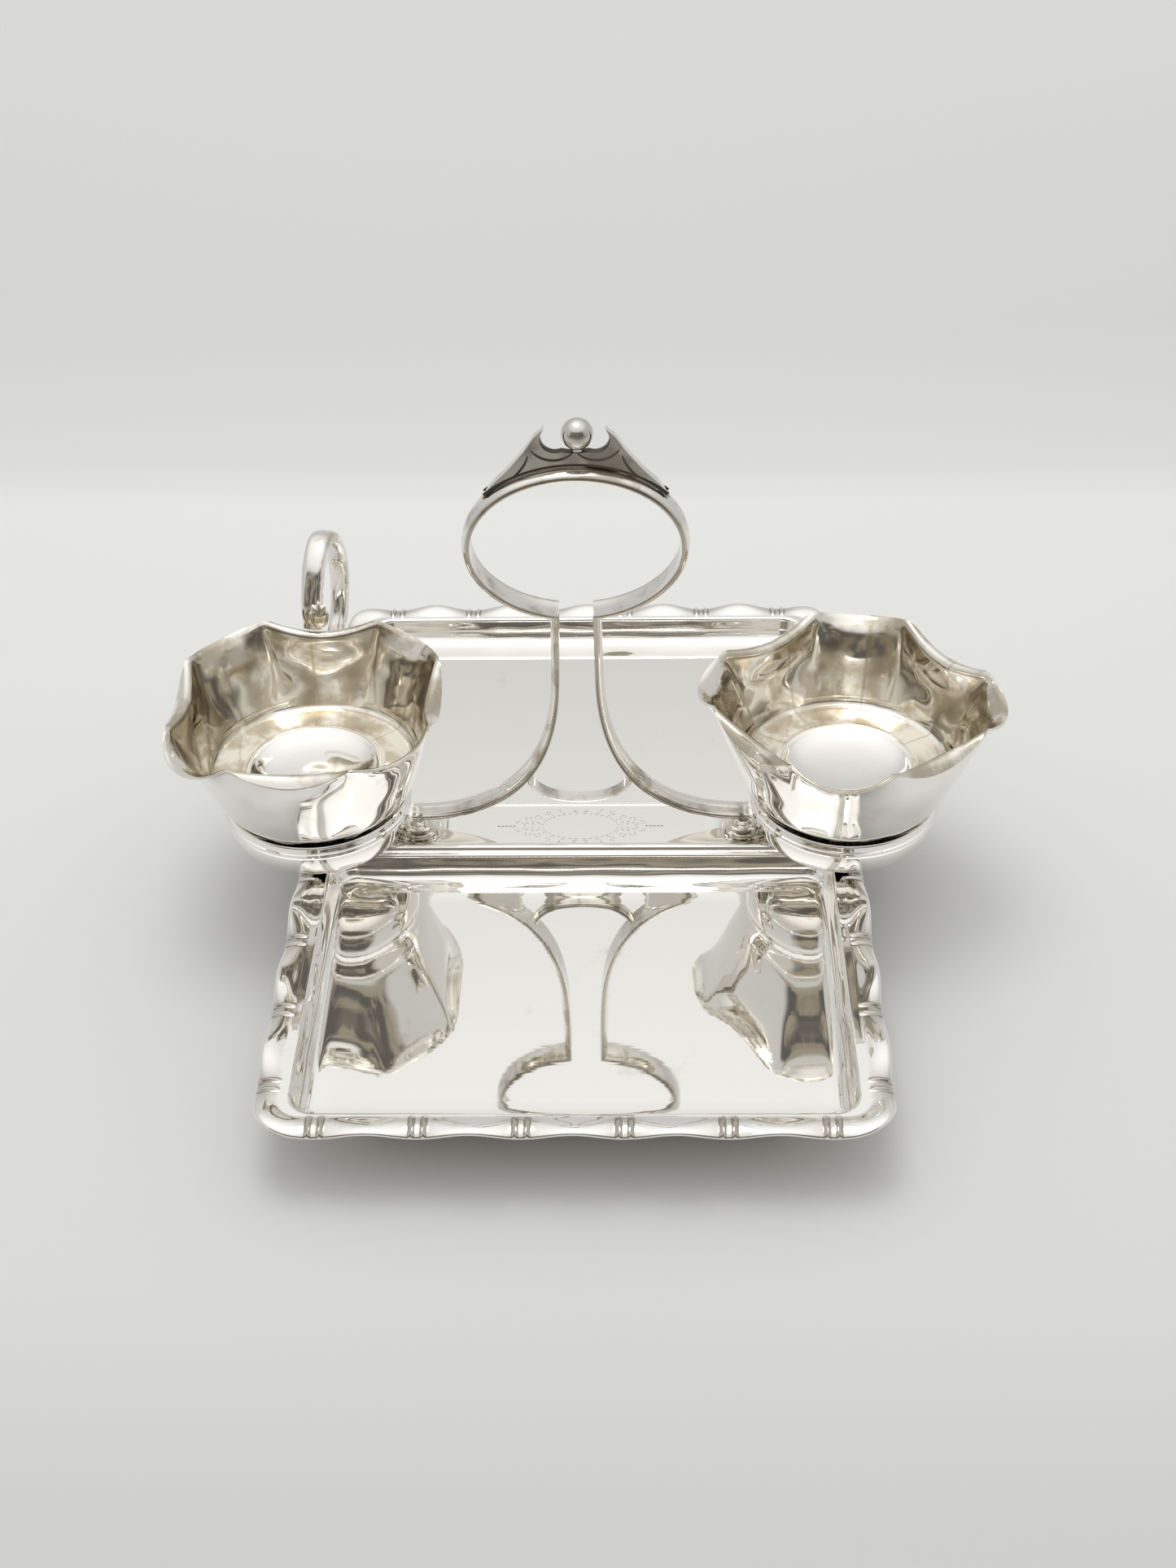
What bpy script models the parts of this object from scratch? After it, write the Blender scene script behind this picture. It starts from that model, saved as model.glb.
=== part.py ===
"""Silver-plated strawberry set: a twin-well tray with an overhead handle, a cream jug and a sugar bowl.

Units are metres, +Z is up, the feet stand on Z = 0 and the handle's loop faces -Y.
The frame's origin is under the middle of the whole. The jug is on the -X side.
"""

from math import atan2, cos, pi, radians, sin, sqrt, tau

import bmesh
import bpy
from mathutils import Matrix, Vector

MM = 0.001
GAP = 0.3 * MM  # left between pieces that are soldered, screwed or set down on each other

STAND_X = -2.73 * MM  # the tray's middle: the bowl reaches further out than the jug does

# Heights
RIM_Z = 24.0 * MM  # the tray's rim above the table
SHEET = 1.2 * MM  # plate that the tray and the sockets are pressed from
WALL = 0.9 * MM  # spun wall of the jug and the bowl

# Tray
TRAY_X = 182 * MM
TRAY_Y = 269 * MM
TRAY_CORNER = 14 * MM
BORDER = 7.5 * MM
FRONT_PITCH = 28.9 * MM  # from one rib pair of the border to the next, along the front and the back
SIDE_PITCH = 30.5 * MM
SIDE_FIRST_PAIR = 23.8 * MM  # of the side's rib pairs, the one nearest the middle
LOBE_LIFT = 0.8 * MM
LOBE_PUSH = 0.3 * MM
WELL_X = 81 * MM  # half width of a well's mouth
WELL_NEAR = 13.2 * MM
WELL_FAR = 126 * MM
WELL_CORNER = 8 * MM
WELL_DEPTH = 9.4 * MM
BRIDGE_X = 80 * MM
BRIDGE_Y = 12.2 * MM
BRIDGE_RISE = 1.7 * MM

# Feet
FOOT_X = 60 * MM
FOOT_Y = 106 * MM

# Sockets, jug and bowl
SOCKET_X = 85.6 * MM
SOCKET_BASE = RIM_Z + BRIDGE_RISE + GAP
VESSEL_BASE = SOCKET_BASE + SHEET + GAP
POINTS = 8  # peaks around a vessel's rim
HIGH_ARC = radians(40)  # the arcs that bulge out; the arcs between them roll over and fill the rest
HANDLE_TURN = radians(-11)  # the jug's handle is soldered on a little askew
HANDLE_SHIFT = -2.8 * MM
JUG_TURN = radians(45)  # middle of one high arc, from +X
BOWL_TURN = radians(-8.7)
JUG_BULGES = (-1.8 * MM, -1.8 * MM, 1.6 * MM, -1.8 * MM)  # the third one pours
BOWL_BULGES = (0, 0, 0, 0)

# Handle
STRAP_WIDTH = 9.6 * MM  # of the loop; the legs narrow towards their feet
STRAP_FOOT_WIDTH = 8.0 * MM
STRAP_THICK = 2.6 * MM
STRAP_EDGE = 1.1 * MM
STRAP_END_X = 54.9 * MM
STRAP_END_Z = RIM_Z + 7.0 * MM
NECK_X = 5.2 * MM  # half the gap between the legs where they bend out into the loop
NECK_Z = RIM_Z + 86.0 * MM
LOOP_X = 31.4 * MM  # the inner face of the loop: half its width
LOOP_TOP = RIM_Z + 132.5 * MM
LOOP_LEAN = 0.8 * MM  # how far the top of the loop is out of true, towards the bowl
LEG_STEPS = 12
CREST_THICK = 2.4 * MM
BALL_RADIUS = 4.65 * MM
BALL_Z = RIM_Z + 145.3 * MM
BALL_X = 1.5 * MM
HANDLE_FOOT = Vector((53 * MM, -3.3 * MM, RIM_Z + BRIDGE_RISE))
STUD_RADIUS = 1.9 * MM


def clear_scene():
    for old in list(bpy.data.objects):
        bpy.data.objects.remove(old, do_unlink=True)


def silver(name, color, roughness):
    made = bpy.data.materials.new(name)
    made.use_nodes = True
    shader = made.node_tree.nodes["Principled BSDF"]
    shader.inputs["Base Color"].default_value = (*color, 1.0)
    shader.inputs["Metallic"].default_value = 1.0
    shader.inputs["Roughness"].default_value = roughness
    return made


def empty(name, location):
    holder = bpy.data.objects.new(name, None)
    holder.location = location
    bpy.context.scene.collection.objects.link(holder)
    return holder


def add_object(name, bm, material, parent, smooth_angle=radians(35)):
    """An object from a bmesh whose points are in its parent's space."""
    mesh = bpy.data.meshes.new(name)
    bm.to_mesh(mesh)
    bm.free()
    mesh.shade_smooth()
    mesh.set_sharp_from_angle(angle=smooth_angle)
    made = bpy.data.objects.new(name, mesh)
    made.data.materials.append(material)
    made.parent = parent
    bpy.context.scene.collection.objects.link(made)
    return made


def add_ring(bm, points):
    return [bm.verts.new(point) for point in points]


def band(bm, first, second):
    """Quads between two rings with the same number of points."""
    count = len(first)
    for i in range(count):
        j = (i + 1) % count
        bm.faces.new((first[i], first[j], second[j], second[i]))


def fan(bm, tip, ring):
    for i, vert in enumerate(ring):
        bm.faces.new((tip, vert, ring[(i + 1) % len(ring)]))


def bands(bm, rings):
    for first, second in zip(rings, rings[1:]):
        band(bm, first, second)


def face_up(bm):
    """Turns the faces of an open sheet so that they look up."""
    bmesh.ops.recalc_face_normals(bm, faces=bm.faces)
    lift = sum(face.normal.z * face.calc_area() for face in bm.faces)
    if lift < 0:
        bmesh.ops.reverse_faces(bm, faces=bm.faces)


def circle(radius, z, steps, center=(0.0, 0.0)):
    turns = [tau * i / steps for i in range(steps)]
    return [Vector((center[0] + radius * cos(a), center[1] + radius * sin(a), z)) for a in turns]


def turned(name, profile, steps, material, parent):
    """A turned solid: profile is (radius, z) from the top of its axis to the bottom, or a closed ring."""
    bm = bmesh.new()
    on_axis = profile[0][0] == 0
    rings = [add_ring(bm, circle(r, z, steps)) for r, z in profile if r > 0]
    bands(bm, rings)
    if on_axis:
        fan(bm, bm.verts.new((0, 0, profile[0][1])), rings[0])
        fan(bm, bm.verts.new((0, 0, profile[-1][1])), rings[-1])
    else:
        band(bm, rings[-1], rings[0])
    bmesh.ops.recalc_face_normals(bm, faces=bm.faces)
    return add_object(name, bm, material, parent)


def swept(name, sections, material, parent):
    """A solid skinned over a row of closed sections, with flat ends."""
    bm = bmesh.new()
    rings = [add_ring(bm, section) for section in sections]
    bands(bm, rings)
    bm.faces.new(rings[0])
    bm.faces.new(rings[-1])
    bmesh.ops.recalc_face_normals(bm, faces=bm.faces)
    return add_object(name, bm, material, parent)


def bezier(a, b, c, d, steps):
    """Points of a cubic curve from a to d."""
    found = []
    for i in range(steps + 1):
        t = i / steps
        u = 1 - t
        found.append(a * u**3 + b * (3 * u * u * t) + c * (3 * u * t * t) + d * t**3)
    return found


def smooth_path(points, steps):
    """A curve through every point, with `steps` pieces between each two."""
    ends = [points[0] * 2 - points[1], *points, points[-1] * 2 - points[-2]]
    found = [points[0].copy()]
    for before, here, there, after in zip(ends, ends[1:], ends[2:], ends[3:]):
        lean_here = (there - before) / 6
        lean_there = (after - here) / 6
        found += bezier(here, here + lean_here, there - lean_there, there, steps)[1:]
    return found


def thicken(made, thickness):
    """Gives a sheet its thickness, on the side that its faces look away from."""
    solid = made.modifiers.new("plate", "SOLIDIFY")
    solid.thickness = thickness
    solid.offset = -1
    solid.use_even_offset = True
    return made


# Tray


def border_stations():
    """Distances along a quarter of the edge, from the middle of the front, and the lobe height at each."""
    straight = TRAY_X / 2 - TRAY_CORNER
    arc = TRAY_CORNER * pi / 2
    side = TRAY_Y / 2 - TRAY_CORNER
    quarter = straight + arc + side
    front = [FRONT_PITCH * (i + 0.5) for i in range(3)]
    sides = [quarter - SIDE_FIRST_PAIR - SIDE_PITCH * i for i in range(3, -1, -1)]
    pairs = [-front[0], *front, *sides, 2 * quarter - sides[-1]]
    found = []
    for start, end in zip(pairs, pairs[1:]):
        steps = 8 if start < straight < end else 4
        for i in range(steps):
            distance = start + (end - start) * i / steps
            if 0 <= distance < quarter - MM:
                found.append((distance, -cos(tau * i / steps)))
    found.append((quarter, 1.0))
    return found


def edge_point(distance, inset):
    """The point of the first quarter's edge at this distance, moved in by the inset."""
    straight = TRAY_X / 2 - TRAY_CORNER
    side = TRAY_Y / 2 - TRAY_CORNER
    turn = (distance - straight) / TRAY_CORNER
    if turn <= 0:
        return distance, -(TRAY_Y / 2 - inset)
    if turn >= pi / 2:
        return TRAY_X / 2 - inset, -side + (distance - straight - TRAY_CORNER * pi / 2)
    reach = TRAY_CORNER - inset
    return straight + reach * sin(turn), -side - reach * cos(turn)


def border_ring(inset, drop, waviness):
    """One closed ring of the tray's border, all the way round."""
    quarter = []
    for distance, lobe in border_stations():
        x, y = edge_point(distance, inset - waviness * LOBE_PUSH * -lobe)
        quarter.append((x, y, RIM_Z - drop + waviness * LOBE_LIFT * lobe))
    right = quarter + [(x, -y, z) for x, y, z in quarter[-2::-1]]
    return [Vector(p) for p in right] + [Vector((-x, y, z)) for x, y, z in right[-2:0:-1]]


def rounded_rectangle(center_y, half_x, half_y, corner, z, steps=5):
    found = []
    for quadrant in range(4):
        side_x = 1 if quadrant in (0, 3) else -1
        side_y = 1 if quadrant in (0, 1) else -1
        for i in range(steps + 1):
            a = pi / 2 * (quadrant + i / steps)
            x = side_x * (half_x - corner) + corner * cos(a)
            y = center_y + side_y * (half_y - corner) + corner * sin(a)
            found.append(Vector((x, y, z)))
    return found


def well_rings(bm, side):
    """The rings of one well from its mouth down to the floor; side is -1 at the front, 1 at the back."""
    middle = side * (WELL_NEAR + WELL_FAR) / 2
    half_y = (WELL_FAR - WELL_NEAR) / 2
    steps = [(0.0, 0.0), (0.9, 1.0), (1.9, 4.8), (3.2, 7.9), (6.2, WELL_DEPTH / MM)]
    rings = []
    for inset, drop in steps:
        shrink = inset * MM
        corner = max(WELL_CORNER - shrink * 0.5, 4 * MM)
        outline = rounded_rectangle(middle, WELL_X - shrink, half_y - shrink, corner, RIM_Z - drop * MM)
        rings.append(add_ring(bm, outline))
    return rings


def fill_between(bm, rings):
    """Flat faces between an outer ring and the rings of the holes inside it."""
    edges = []
    for ring in rings:
        for i, vert in enumerate(ring):
            other = ring[(i + 1) % len(ring)]
            edges.append(bm.edges.get((vert, other)) or bm.edges.new((vert, other)))
    bmesh.ops.triangle_fill(bm, use_beauty=True, use_dissolve=False, edges=edges)


def make_tray(material, parent):
    bm = bmesh.new()
    border = [(BORDER, 0.0, 0.0), (4.2 * MM, -0.4 * MM, 0.5), (1.0 * MM, -0.1 * MM, 1.0), (0, 0.6 * MM, 1.0)]
    outer = [add_ring(bm, border_ring(*row)) for row in border]
    bands(bm, outer)
    wells = [well_rings(bm, side) for side in (-1, 1)]
    for rings in wells:
        bands(bm, rings)
        bm.faces.new(rings[-1])
    foot = add_ring(bm, rounded_rectangle(0, BRIDGE_X, BRIDGE_Y, 3 * MM, RIM_Z))
    top_z = RIM_Z + BRIDGE_RISE
    top = add_ring(bm, rounded_rectangle(0, BRIDGE_X - 0.8 * MM, BRIDGE_Y - 0.8 * MM, 2.6 * MM, top_z))
    band(bm, foot, top)
    fill_between(bm, [outer[0], wells[0][0], wells[1][0], foot])
    holes = []
    for side in (-1, 1):
        place = (side * HANDLE_FOOT.x, HANDLE_FOOT.y)
        holes.append(add_ring(bm, circle(STUD_RADIUS + 0.4 * MM, top_z, 12, place)))
    fill_between(bm, [top, *holes])
    face_up(bm)
    return thicken(add_object("tray", bm, material, parent), SHEET)


def make_feet(material, parent):
    """Four ball feet on short necks, under the corners of the wells."""
    top = RIM_Z - WELL_DEPTH - SHEET - GAP
    profile = [(0, top), (5.4 * MM, top), (5.2 * MM, top - 1.2 * MM), (3.4 * MM, top - 2.8 * MM)]
    profile += [(3.6 * MM, 9.0 * MM), (5.9 * MM, 7.6 * MM), (7.2 * MM, 4.6 * MM), (6.6 * MM, 2.0 * MM)]
    profile += [(4.4 * MM, 0), (0, 0)]
    for name, side_x, side_y in (
        ("foot_front_left", -1, -1),
        ("foot_front_right", 1, -1),
        ("foot_back_left", -1, 1),
        ("foot_back_right", 1, 1),
    ):
        foot = turned(name, profile, 20, material, parent)
        foot.location = (side_x * FOOT_X, side_y * FOOT_Y, 0)


# Sockets


def make_socket(name, side, material, parent):
    """A shallow pressed cup with a stepped lip, soldered on one end of the bridge."""
    outside = [(22.5, 0), (26.2, 0.8), (28.6, 3.2), (29.9, 6.5), (30.4, 9.5), (30.4, 11.8)]
    outside += [(30.0, 12.2), (30.0, 14.3)]
    inside = [(29.0, 14.3), (29.0, 9), (28.4, 5.5), (27.2, 2.6), (25.2, 1.2)]
    profile = [(r * MM, z * MM) for r, z in outside + inside]
    cup = turned(name, [(0, 0), *profile, (0, SHEET)], 36, material, parent)
    cup.location = (side * SOCKET_X, 0, SOCKET_BASE)


# Jug and bowl

# One row for each ring of a vessel's wall, from the foot to the lip: (radius, height) at the
# rim's points, in the middle of the arcs that bulge, and in the middle of those that roll over.
WALL_ROWS = [
    ((24.6, 0.0), (24.6, 0.0), (24.6, 0.0)),
    ((26.4, 2.5), (26.4, 2.5), (26.4, 2.5)),
    ((28.6, 12.5), (28.6, 12.5), (28.6, 12.5)),
    ((32.2, 18.5), (32.3, 18.5), (32.0, 18.5)),
    ((36.3, 28.5), (36.6, 28.5), (35.6, 28.5)),
    ((40.2, 38.5), (40.2, 38.5), (37.9, 37.3)),
    ((43.0, 46.5), (43.4, 44.7), (37.6, 43.5)),
    ((44.0, 50.2), (46.2, 47.2), (37.8, 47.2)),
    ((44.6, 51.4), (47.5, 48.0), (39.6, 47.7)),
    ((45.0, 52.0), (48.4, 48.2), (41.9, 45.4)),
]


LEAN_FROM = 40.0  # the radius, in millimetres, where a lobe's extra lean begins
LEAN_DROP = 0.6  # the height that a lobe's lip loses for each unit that it leans further out


def lobe_at(angle, turn):
    """1 in a bulging arc or 2 in a rolled one, and 0 at its ends to 1 in its middle."""
    period = tau / (POINTS / 2)
    away = abs((angle - turn + period / 2) % period - period / 2)
    if away <= HIGH_ARC / 2:
        return 1, 1 - (away / (HIGH_ARC / 2)) ** 2
    across = (period / 2 - away) / ((period - HIGH_ARC) / 2)
    return 2, 1 - across**2


def wall_angles(turn, steps=6):
    """Angles that fall on every point of the rim, with `steps` pieces in each arc."""
    period = tau / (POINTS / 2)
    found = []
    for i in range(POINTS // 2):
        start = turn + period * i - HIGH_ARC / 2
        found += [start + HIGH_ARC * j / steps for j in range(steps)]
        found += [start + HIGH_ARC + (period - HIGH_ARC) * j / steps for j in range(steps)]
    return found


def make_vessel(name, turn, bulges, material, parent):
    """The seamed wall of a vessel, open at the foot, with its rim raised and rolled.

    bulges holds how much further each of the four bulging arcs leans out at its lip.
    """
    bm = bmesh.new()
    rings = []
    for row in WALL_ROWS:
        ring = []
        lean = max(0, (row[1][0] - LEAN_FROM) / (WALL_ROWS[-1][1][0] - LEAN_FROM))
        for angle in wall_angles(turn):
            kind, share = lobe_at(angle, turn)
            radius = (row[0][0] + (row[kind][0] - row[0][0]) * share) * MM
            height = (row[0][1] + (row[kind][1] - row[0][1]) * share) * MM
            if kind == 1:
                extra = bulges[round((angle - turn) / (tau / 4)) % 4] * lean * share
                radius += extra
                height -= extra * LEAN_DROP
            ring.append(Vector((radius * cos(angle), radius * sin(angle), height)))
        rings.append(add_ring(bm, ring))
    bands(bm, rings)
    bmesh.ops.recalc_face_normals(bm, faces=bm.faces)
    outward = sum(f.normal.dot(f.calc_center_median()) * f.calc_area() for f in bm.faces)
    if outward < 0:
        bmesh.ops.reverse_faces(bm, faces=bm.faces)
    return thicken(add_object(name, bm, material, parent, radians(60)), WALL)


def make_vessel_bottom(name, material, parent):
    """The dished plate let into the wall above the foot."""
    top = [(0, 19.8), (12, 20.3), (17.8, 21.5), (19.7, 22.9), (21.4, 23.1), (29, 24.4), (33.0, 26.0)]
    below = [(r, z - WALL / MM) for r, z in reversed(top)]
    turned(name, [(r * MM, z * MM) for r, z in top + below], 32, material, parent)


def make_jug_handle(material, parent):
    """A scroll handle that starts on the rolled lip at the back and ends on the wall lower down."""
    route = [(40.6, 49.7), (42, 58), (47.5, 68.2), (56, 73.5), (65, 69), (70, 59), (69, 46)]
    route += [(62, 35.5), (50, 30.5), (37.0, 28.6)]
    widths = [3.4, 3.6, 3.8, 3.9, 3.7, 3.5, 3.2, 2.9, 2.6, 2.2]
    spine = smooth_path([Vector((0, y * MM, z * MM)) for y, z in route], 2)
    half_widths = smooth_path([Vector((w * MM, 0, 0)) for w in widths], 2)
    sections = []
    for i, here in enumerate(spine):
        along = (spine[min(i + 1, len(spine) - 1)] - spine[max(i - 1, 0)]).normalized()
        if i == 0:
            along = Vector((0, 0, 1))
        if i == len(spine) - 1:
            along = Vector((0, -1, 0))
        across = Vector((1, 0, 0))
        out = across.cross(along)
        reach = half_widths[i].x
        ring = [here + across * reach * cos(a) + out * reach * 0.62 * sin(a) for a in corners(12)]
        sections.append(ring)
    turn = Matrix.Rotation(HANDLE_TURN, 4, "Z")
    root = Vector((0, spine[0].y, 0))
    place = root + Vector((HANDLE_SHIFT, 0, 0))
    sections = [[place + turn @ (point - root) for point in ring] for ring in sections]
    swept("jug_handle", sections, material, parent)


def corners(count):
    return [tau * i / count for i in range(count)]


def make_jug_leaf(material, parent):
    """The small leaf soldered over the foot of the handle."""
    bm = bmesh.new()
    bmesh.ops.create_uvsphere(bm, u_segments=14, v_segments=8, radius=1.0)
    for vert in bm.verts:
        ridge = 1 + 0.16 * cos(5 * atan2(vert.co.z, vert.co.x))
        vert.co = Vector((vert.co.x * 3.2 * ridge, vert.co.y * 1.3, vert.co.z * 4.4 * ridge)) * MM
    bmesh.ops.recalc_face_normals(bm, faces=bm.faces)
    leaf = add_object("jug_handle_leaf", bm, material, parent)
    leaf.location = (0.2 * MM, 37.0 * MM, 55.8 * MM)
    leaf.rotation_euler = (radians(-14), 0, 0)


# Handle


def loop_curve(reach):
    """Half width, half height and middle of the loop's ellipse, `reach` outside its inner face."""
    low = sqrt(1 - (NECK_X / LOOP_X) ** 2)
    half_height = (LOOP_TOP - NECK_Z) / (1 + low)
    return LOOP_X + reach, half_height + reach, LOOP_TOP - half_height


def strap_spine():
    """The inner face of the strap, in (x, z), from the left foot round the loop to the right foot."""
    foot = Vector((-STRAP_END_X, STRAP_END_Z))
    knee = [Vector((-25 * MM, STRAP_END_Z - 0.8 * MM)), Vector((-6.2 * MM, RIM_Z + 24 * MM))]
    leg = bezier(foot, *knee, Vector((-5.6 * MM, RIM_Z + 62 * MM)), LEG_STEPS)
    leg.append(Vector((-NECK_X, NECK_Z)))
    half_x, half_z, middle = loop_curve(0)
    start = atan2((NECK_Z - middle) / half_z, -NECK_X / half_x) % tau
    sweep = tau - 2 * (1.5 * pi - start)
    steps = 36
    loop = []
    for i in range(1, steps):
        a = start - sweep * i / steps
        spot = Vector((half_x * cos(a), middle + half_z * sin(a)))
        spot.x += LOOP_LEAN * (spot.y - NECK_Z) / (LOOP_TOP - NECK_Z)
        loop.append(spot)
    other = [Vector((-p.x, p.y)) for p in reversed(leg)]
    return leg + loop + other


def strap_section(width):
    """(across, height above the inner face) of the half-round strap."""
    half = width / 2
    dome = STRAP_THICK - STRAP_EDGE
    found = [(-half, 0)]
    for i in range(7):
        a = pi * (1 - i / 6)
        found.append((half * cos(a), STRAP_EDGE + dome * sin(a)))
    found.append((half, 0))
    return found


def make_strap(material, parent):
    """The overhead handle: one strap whose legs stand on the bridge and open into a finger loop."""
    spine = strap_spine()
    sections = []
    for i, here in enumerate(spine):
        back = (here - spine[i - 1]).normalized() if i else (spine[1] - here).normalized()
        ahead = (spine[i + 1] - here).normalized() if i < len(spine) - 1 else back
        bisector = (back + ahead).normalized()
        out = Vector((-bisector.y, bisector.x))
        stretch = 1 / max(bisector.dot(back), 0.5)
        from_foot = min(i, len(spine) - 1 - i)
        width = STRAP_FOOT_WIDTH + (STRAP_WIDTH - STRAP_FOOT_WIDTH) * min(from_foot / LEG_STEPS, 1)
        ring = []
        for y, height in strap_section(width):
            spot = here + out * height * stretch
            ring.append(Vector((spot.x, y, spot.y)))
        sections.append(ring)
    swept("handle_strap", sections, material, parent)


def crest_outline():
    """Half of the crest's outline in (x, z): up the wing, over the horn and round the bay."""
    wing = [(27.4, 125.4), (24.2, 130.2), (20.0, 134.3), (15.1, 140.2), (12.0, 144.8), (8.9, 147.3)]
    found = [(x * MM, RIM_Z + z * MM) for x, z in wing]
    bay_x, bay_z, bay = 5.7 * MM, RIM_Z + 144.2 * MM, 4.2 * MM
    for i in range(9):
        a = radians(12 - 126 * i / 8)
        found.append((bay_x + bay * cos(a), bay_z + bay * sin(a)))
    found.append((2.0 * MM, RIM_Z + 140.0 * MM))
    return found


def make_crest(material, parent):
    """The winged plate that stands on top of the loop and carries the ball."""
    outline = crest_outline()
    half_x, half_z, middle = loop_curve(STRAP_THICK + GAP)
    top = [Vector((x, 0, z)) for x, z in outline] + [Vector((-x, 0, z)) for x, z in reversed(outline)]
    end = outline[0][0]
    count = 24
    under = []
    for i in range(count + 1):
        x = -end + 2 * end * i / count
        under.append(Vector((x, 0, middle + half_z * sqrt(1 - (x / half_x) ** 2))))
    bm = bmesh.new()
    half = Vector((0, CREST_THICK / 2, 0))
    rings = [add_ring(bm, [p + side for p in top + under]) for side in (-half, half)]
    band(bm, *rings)
    bm.faces.new(rings[0])
    bm.faces.new(rings[1])
    bmesh.ops.recalc_face_normals(bm, faces=bm.faces)
    add_object("handle_crest", bm, material, parent).location.x = LOOP_LEAN


def make_finial(material, parent):
    """The ball on its short collared neck."""
    neck = RIM_Z + 140.0 * MM + GAP - BALL_Z
    steps = 9
    start = radians(160)
    ball = []
    for i in range(steps + 1):
        a = start * i / steps
        ball.append((BALL_RADIUS * sin(a), BALL_Z + BALL_RADIUS * cos(a)))
    foot = [(1.7 * MM, BALL_Z + neck), (0, BALL_Z + neck)]
    turned("ball_finial", ball + foot, 18, material, parent).location.x = BALL_X


def make_brace(material, parent):
    """The half-round U between the legs."""
    low = RIM_Z + 14.0 * MM
    end = Vector((-15.8 * MM, RIM_Z + 21.6 * MM))
    path = bezier(end, Vector((-12.9 * MM, low + 0.6 * MM)), Vector((-5 * MM, low)), Vector((0, low)), 8)
    path += [Vector((-p.x, p.y)) for p in reversed(path[:-1])]
    sections = []
    for i, here in enumerate(path):
        along = (path[min(i + 1, len(path) - 1)] - path[max(i - 1, 0)]).normalized()
        out = Vector((along.y, -along.x))
        ring = []
        for y, height in ((-2.2, 0), (-2.2, 0.7), (-1.2, 1.7), (0, 2.0), (1.2, 1.7), (2.2, 0.7), (2.2, 0)):
            spot = here + out * height * MM
            ring.append(Vector((spot.x, y * MM, spot.y)))
        sections.append(ring)
    swept("handle_brace", sections, material, parent)


def make_handle_foot(label, side, silver_finish, nut_finish, parent):
    """A stepped disc under the strap's end, its stud through the bridge, and the washer and nut below."""
    place = Vector((side * HANDLE_FOOT.x, HANDLE_FOOT.y, HANDLE_FOOT.z))
    top = STRAP_END_Z - GAP - place.z
    disc = [(0, top), (2.0, top / MM), (2.1, 3.4), (4.6, 3.0), (5.2, 2.4), (4.8, 2.0), (5.7, 1.6), (5.7, 0.3)]
    stud = [(STUD_RADIUS / MM, 0.3), (STUD_RADIUS / MM, -6.6)]
    profile = [(0, top)] + [(r * MM, z * MM) for r, z in disc[1:] + stud] + [(0, -6.6 * MM)]
    turned(f"handle_foot_{label}", profile, 18, silver_finish, parent).location = place
    bore = STUD_RADIUS + 0.35 * MM
    under = -SHEET - GAP
    washer = [(bore, under), (4.6 * MM, under), (4.6 * MM, under - 0.8 * MM), (bore, under - 0.8 * MM)]
    turned(f"foot_washer_{label}", washer, 18, nut_finish, parent).location = place
    nut_top = under - 0.8 * MM - GAP
    nut = [(bore, nut_top), (3.8 * MM, nut_top), (3.8 * MM, nut_top - 2.6 * MM), (bore, nut_top - 2.6 * MM)]
    turned(f"foot_nut_{label}", nut, 6, nut_finish, parent).location = place


def main():
    clear_scene()
    plate = silver("silver_plate", (0.86, 0.84, 0.80), 0.12)
    shade = silver("toned_silver", (0.70, 0.66, 0.59), 0.20)
    inside = silver("vessel_silver", (0.84, 0.81, 0.75), 0.14)
    brass = silver("nickel_nut", (0.62, 0.58, 0.50), 0.35)
    stand = empty("stand_frame", (STAND_X, 0, 0))
    make_tray(plate, stand)
    make_feet(plate, stand)
    make_socket("jug_socket", -1, plate, stand)
    make_socket("bowl_socket", 1, plate, stand)
    make_strap(shade, stand)
    make_crest(shade, stand)
    make_finial(plate, stand)
    make_brace(shade, stand)
    make_handle_foot("left", -1, shade, brass, stand)
    make_handle_foot("right", 1, shade, brass, stand)
    jug = empty("cream_jug_frame", (STAND_X - SOCKET_X, 0, VESSEL_BASE))
    make_vessel("jug_body", JUG_TURN, JUG_BULGES, inside, jug)
    make_vessel_bottom("jug_bottom", inside, jug)
    make_jug_handle(plate, jug)
    make_jug_leaf(plate, jug)
    bowl = empty("sugar_bowl_frame", (STAND_X + SOCKET_X, 0, VESSEL_BASE))
    make_vessel("bowl_body", BOWL_TURN, BOWL_BULGES, inside, bowl)
    make_vessel_bottom("bowl_bottom", inside, bowl)


main()
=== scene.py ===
# %% [markdown]
# # A silver strawberry set
#
# The object is an old plated serving stand. A pressed tray has two wells with a raised bridge between them,
# an overhead strap handle stands on the bridge, and a cream jug and a sugar bowl sit in two round sockets.
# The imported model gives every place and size, so the first step loads it and notes its box. Each visible
# piece is then made again as a fine mesh where the plain one stands, because polished silver shows
# every facet that a coarse mesh has.

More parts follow.
